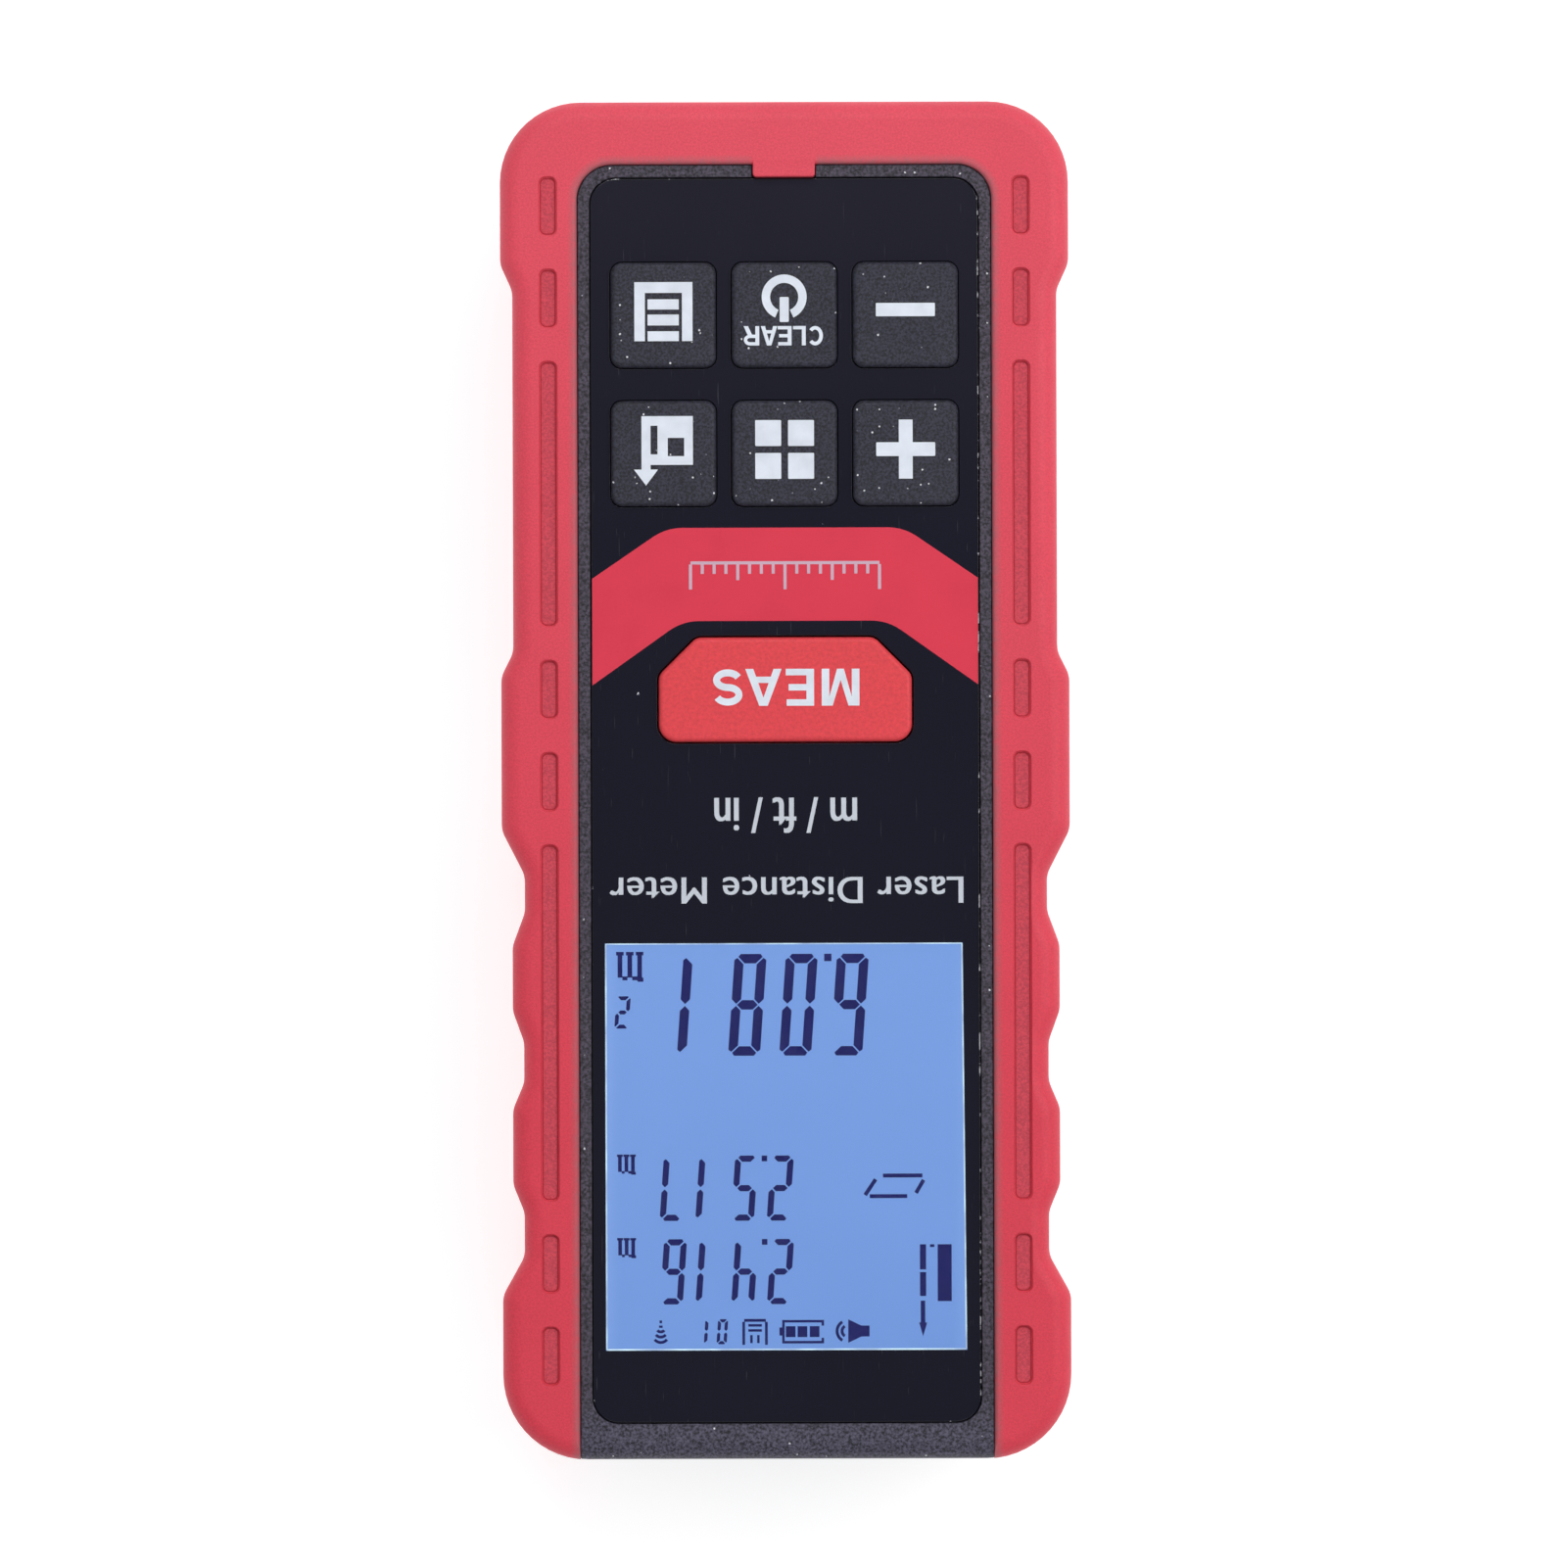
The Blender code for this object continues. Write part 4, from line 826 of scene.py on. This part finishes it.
def capital(letter, width, high, stem):
    """Outlines of a bold capital whose lower left corner is at the origin."""
    arm, mid, half, thin = stem * 0.85, high / 2, (width - stem) / 2, stem * 0.92
    upright = polygon((0, 0), (stem, 0), (stem, high), (0, high))
    if letter == "M":
        peak, foot, notch = stem * 1.44, stem * 0.45, 0.76 * high
        return [polygon((0, 0), (stem, 0), (stem, notch), (width / 2 - foot, 0), (width / 2 + foot, 0),
                        (width - stem, notch), (width - stem, 0), (width, 0), (width, high),
                        (width - peak, high), (width / 2, 0.3 * high), (peak, high), (0, high))]
    if letter == "E":
        short, top = width * 0.9, width * 0.97
        return [polygon((0, 0), (width, 0), (width, arm), (stem, arm), (stem, mid - arm / 2),
                        (short, mid - arm / 2), (short, mid + arm / 2), (stem, mid + arm / 2),
                        (stem, high - arm), (top, high - arm), (top, high), (0, high))]
    if letter == "L":
        return [polygon((0, 0), (width, 0), (width, arm), (stem, arm), (stem, high), (0, high))]
    if letter == "A":
        leg = polygon((0, 0), (stem * 1.06, 0), (width / 2, 0.78 * high), (width / 2, high),
                      (width / 2 - stem * 0.56, high))
        low, top = 0.21 * high, 0.38 * high
        bar = polygon((width * 0.25, low), (width * 0.75, low), (width * 0.7, top), (width * 0.3, top))
        return [leg, [Vector((width - p.x, p.y)) for p in reversed(leg)], bar]
    if letter == "S":
        rise = (high - stem) / 4
        path = arc((width / 2, high - stem / 2 - rise), half, rise, 22, 262, 20)
        return [stroke(path + arc((width / 2, stem / 2 + rise), half, rise, 82, -158, 20), thin)]
    if letter == "C":
        return [stroke(arc((width / 2, mid), half, (high - thin) / 2, 42, 318, 28), thin)]
    # R: a stem, a bowl and a leg
    bowl = arc((width * 0.58, 0.72 * high), width * 0.42 - stem / 2, 0.28 * high - arm / 2, 90, -90, 12)
    bowl = [Vector((stem / 2, bowl[0].y)), *bowl, Vector((stem / 2, bowl[-1].y))]
    knee = 0.46 * high
    leg = polygon((width - stem * 1.15, 0), (width, 0), (width * 0.74, knee), (width * 0.45, knee))
    return [upright, stroke(bowl, arm), leg]


def capitals(word, left, low, widths, gaps, high, stem):
    """Outlines of a word in bold capitals, from its lower left corner."""
    outlines = []
    for letter, width, gap in zip(word, widths, gaps):
        corner = Vector((left, low))
        outlines += [[corner + point for point in points] for points in capital(letter, width, high, stem)]
        left += width + gap
    return outlines


def key_solid(outline, top, nub):
    """A key with its captive flange, stem and softly rounded top."""
    flange_low, flange_high, stem_low = 22.2, 23.1, 21.1
    flange = [(-KEY_LIP, flange_low), (-KEY_LIP, flange_high), (0, flange_high)]
    cap = loft(outline, flange + fillet(top, 0.45, 1, steps=7))
    return join(cap, post(nub, 1.6, stem_low, flange_low + 0.5))


def key_icons():
    """Outlines of each small key's icon, where they lie on the meter."""
    long, arm, bar_half = 2.56, 0.6, 0.58
    near, far = 0.3, 2.55
    windows = [(*sorted((sx * near, sx * far)), *sorted((PLUS_Y + sy * near, PLUS_Y + sy * far)), 0.08)
               for sx in (-1, 1) for sy in (-1, 1)]
    return {
        "key_plus": rectangles(
            (PLUS_X - long, PLUS_X + long, PLUS_Y - arm, PLUS_Y + arm, 0.08),
            (PLUS_X - arm, PLUS_X + arm, PLUS_Y - long, PLUS_Y - arm),
            (PLUS_X - arm, PLUS_X + arm, PLUS_Y + arm, PLUS_Y + long)),
        "key_minus": rectangles(
            (PLUS_X - long, PLUS_X + long, MINUS_Y - bar_half, MINUS_Y + bar_half, 0.08)),
        "key_function": rectangles(*windows),
        "key_power": [ring_part((0, POWER_Y), 1.95, 1.22, 114, 426),
                      rectangle(-0.4, 0.4, POWER_Y, -39.75, 0.1)],
        "key_memory": rectangles(
            (7.95, 8.87, -43.24, -38.12), (12.08, 13.0, -43.24, -38.12), (8.87, 12.08, -43.24, -42.3),
            (9.14, 11.85, -41.75, -40.86), (9.14, 11.85, -40.43, -39.48), (9.14, 11.85, -38.98, -38.12)),
        "key_reference": rectangles(
            (7.95, 12.41, -31.62, -30.79), (7.95, 8.71, -30.79, -27.39), (8.71, 11.02, -28.15, -27.39),
            (8.71, 10.13, -30.79, -29.73), (10.13, 11.02, -30.79, -28.15), (11.02, 11.62, -28.31, -27.39),
            (11.62, 12.41, -30.79, -26.99)) + [polygon((13.07, -26.99), (12.02, -25.6), (10.98, -26.99))],
    }


def make_keys():
    icons = key_icons()
    for name in KEY_NAMES:
        icon = icons[name]
        solid = key_solid(key_outline(name), KEY_TOP, middle_of(name))
        finish(solid, name + "_cap", KEY_SKIN, name, name)
        inlay(name + "_icon", icon, ICON_INK, KEY_TOP, 0.04, name)
        rims = [inset(anticlockwise(outline), -0.07) for outline in icon]
        inlay(name + "_icon_rim", rims, ICON_SHADOW, KEY_TOP, 0.015, name)
    widths, gaps = (1.36, 1.1, 1.2, 1.42, 1.36), (0.14, 0.13, 0.04, 0.14, 0)
    word = capitals("CLEAR", -3.36, -39.4, widths, gaps, 1.68, 0.34)
    inlay("key_power_word", word, ICON_INK, KEY_TOP, 0.03, "key_power")
    solid = key_solid(inset(measure_outline(), 0.08), MEASURE_HIGH.z, middle_of("measure_key"))
    finish(solid, "measure_key_cap", MEASURE_SKIN, "measure_key", "measure_key")
    widths, gaps = (3.27, 2.45, 3.15, 2.6), (0.66, 0.36, 0.22, 0)
    word = capitals("MEAS", -6.42, -9.68, widths, gaps, 3.2, 0.66)
    inlay("measure_key_word", word, ICON_INK, MEASURE_HIGH.z, INK, "measure_key")


LEAN = math.tan(math.radians(4))
SEGMENTS = {"0": "abcdef", "1": "bc", "2": "abged", "4": "fgbc", "5": "afgcd", "6": "afgedc", "7": "abc",
            "8": "abcdefg"}


def segment_digit(character, left, low, width, height, thick, gap, chamfer):
    """Outlines of a leaning seven-segment digit whose lower left corner is at (left, low)."""
    right, middle, half = left + width, low + height / 2, thick / 2
    corner = ((gap + 1.7 * chamfer, 0), (gap + chamfer, chamfer), (gap + thick, thick))
    point = ((gap + thick, -half), (gap + half, 0), (gap + thick, half))

    def upright(x, side, up):
        """A bar whose outer edge is at x; side is 1 on the right, up is 1 above the middle."""
        near, far = middle + up * gap, middle + up * height / 2
        points = [(half, near), (0, near + up * half)]
        points += [(deep, far - up * along) for along, deep in corner] + [(thick, near + up * half)]
        return [(x - side * deep, y) for deep, y in points]

    def level(y, ends, up=1):
        """A bar whose outer edge is at y; up is 1 at the top and in the middle, -1 at the bottom."""
        start = [(along, y - up * deep) for along, deep in ends]
        return [(left + along, v) for along, v in start] + [(right - along, v) for along, v in start[::-1]]

    bars = {
        "a": level(low + height, corner), "g": level(middle, point), "d": level(low, corner, -1),
        "b": upright(right, 1, 1), "c": upright(right, 1, -1),
        "f": upright(left, -1, 1), "e": upright(left, -1, -1),
    }
    return [[Vector((x + LEAN * (y - low), y)) for x, y in bars[bar]] for bar in SEGMENTS[character]]


def letter_m(left, low, width, height, stem):
    """Outlines of a small seriffed m."""
    pitch, foot, serif = (width - stem) / 2, stem * 0.3, low + height * 0.12
    outlines = []
    for k in range(3):
        x = left + pitch * k
        top = low + height * (0.86 if k else 1.0)
        outlines += rectangles((x, x + stem, serif, top), (x - foot, x + stem + foot, low, serif))
        if k:
            outlines.append(rectangle(x - pitch + stem, x, low + height * 0.82, low + height * 0.95))
    outlines.append(rectangle(left - foot, left, low + height * 0.86, low + height))
    return outlines


def screen_marks():
    """Outlines of everything the screen shows."""
    marks = []
    for row, digits in ((39.85, "2416"), (32.6, "2517")):
        for k, character in enumerate(digits):
            marks += segment_digit(character, -0.63 + 3.1 * k, row - 0.04, 2.0, 5.66, 0.54, 0.09, 0.2)
        marks.append(rectangle(1.7, 2.18, row - 0.04, row + 0.46))
        marks += letter_m(13.2, row - 0.16, 1.45, 1.75, 0.32)
    for k, character in enumerate("6081"):
        marks += segment_digit(character, -7.2 + 4.44 * k, 15.05, 2.78, 8.84, 0.82, 0.08, 0.26)
    marks.append(rectangle(-3.94, -3.3, 15.05, 15.7))
    marks += letter_m(12.52, 14.84, 2.12, 2.6, 0.41)
    marks += segment_digit("2", 13.5, 18.7, 1.25, 2.8, 0.34, 0.09, 0.08)
    # The reference bar and its dashed arrow.
    marks += rectangles((-14.3, -13.08, 40.31, 45.25), (-12.8, -12.42, 40.31, 40.55),
                        (-12.08, -11.54, 40.31, 42.5), (-12.08, -11.54, 42.72, 44.8),
                        (-11.99, -11.6, 45.2, 47.1))
    marks.append(polygon((-11.46, 47.1), (-11.8, 48.3), (-12.16, 47.1)))
    # Speaker.
    marks.append(rectangle(-7.15, -6.3, 47.35, 48.3))
    marks.append(polygon((-6.45, 47.35), (-5.3, 46.8), (-5.3, 48.85), (-6.45, 48.3)))
    marks += [ring_part((-5.25, 47.83), radius, radius - 0.26, -60, 60, 14) for radius in (0.62, 1.05)]
    # Battery: an outline drawn as bars, its nub, and three blocks.
    marks += rectangles((-3.2, 0.44, 46.85, 47.07), (-3.2, 0.44, 48.67, 48.89), (-3.2, -2.98, 47.07, 47.35),
                        (-3.2, -2.98, 48.4, 48.67), (0.22, 0.44, 47.07, 48.67), (0.44, 0.68, 47.5, 48.2),
                        *[(x, x + 0.84, 47.39, 48.34) for x in (-2.8, -1.74, -0.72)])
    # Memory: a tray with lines in it, and its number.
    marks += rectangles((1.69, 1.93, 47.0, 49.0), (3.66, 3.9, 47.0, 49.0), (1.85, 3.74, 46.75, 47.0),
                        (2.2, 3.38, 47.2, 47.42), (2.2, 3.38, 47.64, 47.86), (2.4, 2.62, 48.15, 48.85),
                        (3.0, 3.22, 48.15, 48.85))
    marks += segment_digit("0", 5.12, 46.76, 0.88, 2.18, 0.28, 0.06, 0.08)
    marks += segment_digit("1", 6.05, 46.76, 1.05, 2.18, 0.29, 0.06, 0.08)
    # Signal: three arcs over two dots.
    for top, radius in ((48.9, 0.8), (48.43, 0.66), (47.98, 0.5)):
        marks.append(ring_part((10.98, top - radius), radius, radius - 0.25, 38, 142, 10))
    marks += rectangles((10.82, 11.14, 47.3, 47.5), (10.87, 11.09, 46.86, 47.1))
    # The leaning rectangle that stands for area.
    for line in (((-11.78, 34.33), (-8.35, 34.33)), ((-10.46, 36.12), (-7.2, 36.12)),
                 ((-11.88, 34.72), (-11.22, 35.85)), ((-7.72, 34.65), (-6.8, 36.02))):
        marks.append(stroke(polygon(*line), 0.34))
    return marks


def make_screen():
    cell = prism(screen_window(0.3), cad("lcd_glass")[0].z, SCREEN_Z)
    finish(cell, "screen_cell", SCREEN_GLOW, "lcd_glass", flat=True)
    inlay("screen_marks", screen_marks(), SEGMENT, SCREEN_Z + 0.01)
    corners = screen_window(-0.06)
    border = [stroke([corners[k - 1], corners[k]], 0.12) for k in range(4)]
    inlay("screen_edge", border, SCREEN_EDGE, SCREEN_Z + 0.005, 0.01)


# ---- nose, back and battery bay

def make_nose():
    outline = centred(PLATE_HIGH.x, PLATE_LOW.z, PLATE_HIGH.z, 1.35)
    plate = facing_nose(loft(outline, [(0, PLATE_LOW.y)] + fillet(PLATE_HIGH.y, 0.2, 1)))
    past = PLATE_HIGH.y
    emitter = [(2.2, BORE_TAIL_Y), (2.2, past - 0.5), (2.9, past + 0.2)]
    receiver = [(6.6, BORE_TAIL_Y), (6.6, past - 0.3), (6.95, past + 0.05), (6.95, past + 1)]
    cut(plate, turned(emitter, EMITTER_X), turned(receiver, RECEIVER_X))
    finish(plate, "nose_panel", FACE_SKIN, "nose_plate")
    rim_y, lens_radius, steps = LENS_LOW.y + 2.4, 7.0, 14
    profile = [(lens_radius, LENS_LOW.y), (lens_radius, rim_y)]
    profile += [(lens_radius * math.sqrt(1 - k / steps) + 0.02, rim_y + (LENS_HIGH.y - rim_y) * k / steps)
                for k in range(1, steps + 1)]
    finish(turned(profile, RECEIVER_X), "receiver_lens_glass", LENS_GLASS, "receiver_lens")
    window = [(2.9, EMITTER_LOW.y), (2.9, EMITTER_HIGH.y - 0.15), (2.75, EMITTER_HIGH.y)]
    finish(turned(window, EMITTER_X), "emitter_pane", EMITTER_GLASS, "emitter_window")


def make_rear_housing():
    core = prism(core_outline(), FLOOR, SPLIT_Z + 3)
    back = loft(back_outline(), fillet(BACK_BOTTOM, 0.5, -1)[::-1] + [(0, SPLIT_Z + 2)])
    nose = box(-RIM_HALF_WIDTH, RIM_HALF_WIDTH, 0, HALF_LENGTH + 2, -1, SPLIT_Z + 1)
    shell = boolean(rear_envelope(BACK_BOTTOM, FINE_PARTING), "INTERSECT", [join(core, back, nose)])
    cut(shell, prism(core_outline(-WALL), FLOOR, SPLIT_Z + 2))
    case_post, case_well, case_bore = 2.8, 2.1, 1.3         # radii round the screws
    block_post, block_bore = 2.1, 0.95
    outer, foot = BAY_HALF_WIDTH + BAY_WALL, FLOOR - 0.5
    join(
        shell,
        box(-outer, outer, BAY_TAIL_Y - BAY_WALL, BAY_NOSE_Y + BAY_WALL, foot, BAY_ROOF + BAY_WALL),
        *[post(centre, case_post, foot, REAR_HIGH) for centre in CASE_SCREWS],
        *[post(centre, block_post, foot, 5.2) for centre in BLOCK_SCREWS],
    )
    half = DOOR_HIGH.x + 0.3
    opening = loft(rectangle(-half, half, DOOR_LOW.y - 0.3, HINGE_Y, 0.6),
                   [(-0.15, -1), (-0.15, BACK_BOTTOM), (0, BACK_BOTTOM + 0.15), (0, 2.0)])
    well = [(-0.2, -1), (-0.2, BACK_BOTTOM), (0, BACK_BOTTOM + 0.2), (0, 2.8)]
    wells = []
    for centre in CASE_SCREWS:
        wells += [loft(circle(case_well, centre, 40), well), post(centre, case_bore, 1, SPLIT_Z + 1)]
    cut(
        shell, box(-BAY_HALF_WIDTH, BAY_HALF_WIDTH, BAY_TAIL_Y, BAY_NOSE_Y, FLOOR, BAY_ROOF),
        opening, prism(footprint("rear_label", GAP, 1.0), -1, 0.6), *wells, *nose_cutters(),
        *[post(centre, block_bore, 2.4, 6) for centre in BLOCK_SCREWS],
    )
    join(shell, box(-10.2, 10.2, CONTACT_WALL_Y, CONTACT_WALL_Y + BAY_WALL, 2.6, BAY_ROOF + 0.5))
    for x in (-CELL_X, CELL_X):
        left, right, low, high = x - 1.5, x + 1.5, BAY_ROOF - 0.5, BAY_ROOF + 3
        cut(shell, box(left, right, CONTACT_WALL_Y - 0.6, CONTACT_WALL_Y, low, high))
    finish(shell, "rear_shell", SHELL, "rear_housing")


def make_label():
    label = prism(footprint("rear_label", 0, 0.9), LABEL_LOW.z, LABEL_HIGH.z)
    finish(label, "back_label", FOIL, "rear_label")
    margin, line = 1.0, 0.14
    left, right, tail, nose = (LABEL_LOW.x + margin, LABEL_HIGH.x - margin,
                               LABEL_LOW.y + margin, LABEL_HIGH.y - margin)
    rules = [(left, right, y, y + line) for y in (tail, tail + 8, tail + 16, nose - line)]
    rules += [(x, x + line, tail + line, nose - line) for x in (left, right - line)]
    inlay("back_label_rules", rectangles(*rules), RULE_INK, LABEL_LOW.z - INK)


def make_door():
    """The battery door: hooks at its hinge end, and a thumb latch between two slits at its tail."""
    nose, tail, bottom = HINGE_Y - 0.3, DOOR_LOW.y, DOOR_LOW.z
    hook_in, hook_out, slit_x, slit_half, thumb_half = 11.1, 12.9, 4.6, 0.4, 3.4
    outline = rectangle(DOOR_LOW.x, DOOR_HIGH.x, tail, nose, 0.5)
    door = loft(outline, fillet(bottom, 0.2, -1)[::-1] + [(0, 1.8)])
    for side in (-1, 1):
        left, right = sorted((side * hook_in, side * hook_out))
        riser = box(left, right, HINGE_Y - 1.8, nose, 1.3, FLOOR + 1.2)
        hook = box(left, right, HINGE_Y - 1.0, HINGE_Y + 2.6, FLOOR + 0.25, FLOOR + 1.2)
        slit = rectangle(side * slit_x - slit_half, side * slit_x + slit_half, tail - 2, tail + 6, 0.35)
        cut(join(door, riser, hook), prism(slit, -1, 3))
    cut(door, box(-thumb_half, thumb_half, tail - 1, tail + 3.2, -1, bottom + 0.5))
    for k in range(4):
        y, half = tail + 8.5 + 1.5 * k, 6 - 0.7 * k
        cut(door, prism(centred(half, y - 0.3, y + 0.3, 0.29), -1, bottom + 0.35))
    finish(door, "battery_door_panel", SHELL, "battery_door", "battery_door")


def make_cells():
    for cell, x, tip_at_tail in (("battery_cell_1", CELL_X, False), ("battery_cell_2", -CELL_X, True)):
        low, high = cad(cell)
        tip, away = (low.y, 1) if tip_at_tail else (high.y, -1)
        length, can = high.y - low.y, CELL_RADIUS
        pieces = (
            ("wrap", CELL_WRAP, cell, [
                (can - 0.35, 0.95), (can - 0.1, 0.98), (can, 1.25),
                (can, length - 0.5), (can - 0.15, length - 0.25), (can - 0.45, length - 0.2)]),
            ("nipple", STEEL, None, [(1.7, 0.0), (1.9, 0.12), (1.9, 0.8), (4.6, 0.85), (4.75, 0.94)]),
            ("base", STEEL, None, [(4.7, length - 0.25), (4.4, length - 0.05), (2.0, length)]),
            ("band", BRASS, None, [(can + 0.01, 1.3), (can + 0.01, 9.0)]),
        )
        for part, material, node, profile in pieces:
            solid = turned([(radius, tip + away * y) for radius, y in profile], x, CELL_Z)
            finish(solid, f"{cell}_{part}", material, node)


def make_polarity_marks():
    """Moulded plus and minus signs on the bay roof beside the cells' ends."""
    marks, arm, half = [], 0.9, 0.15
    for x, plus_y in ((CELL_X, -5.5), (-CELL_X, -49.5)):
        for y in (-5.5, -49.5):
            marks.append((x - arm, x + arm, y - half, y + half))
            if y == plus_y:
                marks += [(x - half, x + half, y - arm, y - half), (x - half, x + half, y + half, y + arm)]
    inlay("polarity_marks", rectangles(*marks), SHELL, BAY_ROOF - 0.12, 0.1)


def make_case_screws():
    """Cross-head case screws, with a rounded rim and a tapered recess."""
    arm, half = 1.15, 0.27
    for number, (x, y) in enumerate(CASE_SCREWS, 1):
        node = f"case_screw_{number}"
        low, high = cad(node)
        rim = [(0.35, low.z), (0.12, low.z + 0.06), (0, low.z + 0.25), (0, 2.75)]
        screw = join(loft(circle(1.9, (x, y), 48), rim), post((x, y), 1.1, 2.5, high.z))
        recess = [(0, low.z - 1), (0, low.z), (0.12, low.z + 0.6)]
        cross = join(loft(rectangle(x - arm, x + arm, y - half, y + half), recess),
                     loft(rectangle(x - half, x + half, y - arm, y + arm), recess))
        finish(cut(screw, cross), node + "_fine", DARK_STEEL, node)


def paint_inner_nodes():
    """Materials for the CAD nodes that keep their own shapes, by how the nodes' names begin."""
    skins = {
        SILICONE: ("keypad_mat", "lcd_connector"),
        STEEL: ("switch_", "contact_", "spring_", "board_screw_", "optics_screw_",
                "laser_diode", "photodiode", "shield_can"),
        BOARD: ("main_board", "detector_board"),
        WHITE_PLASTIC: ("backlight_panel", "lcd_frame"),
        CHIP: ("controller_chip", "buzzer"),
        ALUMINIUM: ("optical_block",),
        BRASS: ("laser_barrel",),
        LENS_GLASS: ("collimator_lens",),
        POLYIMIDE: ("flex_cable",),
    }
    for node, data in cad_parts.items():
        for material, beginnings in skins.items():
            if node.startswith(beginnings):
                for slot in data.material_slots:
                    slot.material = material
                if not data.material_slots:
                    data.data.materials.append(material)


# ---- light, floor and camera

def make_floor():
    """White paper. It shows from above only, so that a view from below has the back of the case in it."""
    bm = bmesh.new()
    bmesh.ops.create_grid(bm, x_segments=1, y_segments=1, size=20000)
    floor = made(bm)
    floor.name = floor.data.name = "floor"
    floor.location.z = -0.02 * MM
    s = skin("floor_paper", Roughness=0.9, Specular_IOR_Level=0.1, Emission_Color=(0.9, 0.9, 0.9),
             Emission_Strength=0.75)
    s.set(Base_Color=s.around(s.noise(40.0), (0.62, 0.62, 0.62), 0.01))
    below = s.add("ShaderNodeNewGeometry").outputs["Backfacing"]
    clear = s.add("ShaderNodeBsdfTransparent").outputs["BSDF"]
    sheet = s.add("ShaderNodeMixShader", _0=below, _1=s.main.outputs["BSDF"], _2=clear).outputs["Shader"]
    s.feed(s.tree.nodes["Material Output"], Surface=sheet)
    floor.data.materials.append(s.owner)


def make_lights():
    world = bpy.context.scene.world = bpy.data.worlds.new("studio")
    s = Shader(world, "Background", "Generated")
    s.set(Color=s.mix(s.spread(s.axis("Z"), 0.0, 0.5), (0.74, 0.75, 0.77), (0.11, 0.115, 0.13)))
    for side, x, y, power in (("left", -0.36, -0.08, 1.6), ("right", 0.36, -0.02, 0.4),
                              ("tail", 0.03, -0.38, 1.35), ("nose", -0.03, 0.38, 0.55)):
        light = bpy.data.lights.new("light_" + side, "AREA")
        light.shape, light.size, light.energy = "SQUARE", 0.36, power
        lamp = linked(light)
        lamp.location = place = Vector((x, y, 0.5))
        lamp.rotation_euler = (-place).to_track_quat("-Z", "Y").to_euler()


def make_camera():
    """Straight above the meter, with its laser end down in the picture."""
    camera = bpy.data.cameras.new("camera")
    camera.lens, camera.sensor_width = 150, 36
    camera.clip_start, camera.clip_end = 0.01, 20
    view_width, look_x, look_y = 0.1359, 0.00014, 0.0003
    obj = linked(camera)
    obj.location = (look_x, look_y, HEIGHT * MM + view_width * camera.lens / camera.sensor_width)
    obj.rotation_euler = (0, 0, math.radians(180 - 0.17))
    bpy.context.scene.camera = obj
    bpy.context.scene.view_settings.view_transform = "Standard"


make_front_housing()
make_rear_housing()
make_front_bumper()
make_rear_bumper()
make_faceplate()
make_chevron()
lettering("face_words", "Laser Distance Meter", (-0.05, 9.5), 30.7, 2.3, 0.1, 1.06)
lettering("face_units", "m / ft / in", (0, 3.0), 12.4, 3.1, 0.12)
make_keys()
make_screen()
make_nose()
make_label()
make_door()
make_cells()
make_polarity_marks()
make_case_screws()
paint_inner_nodes()
make_floor()
make_lights()
make_camera()
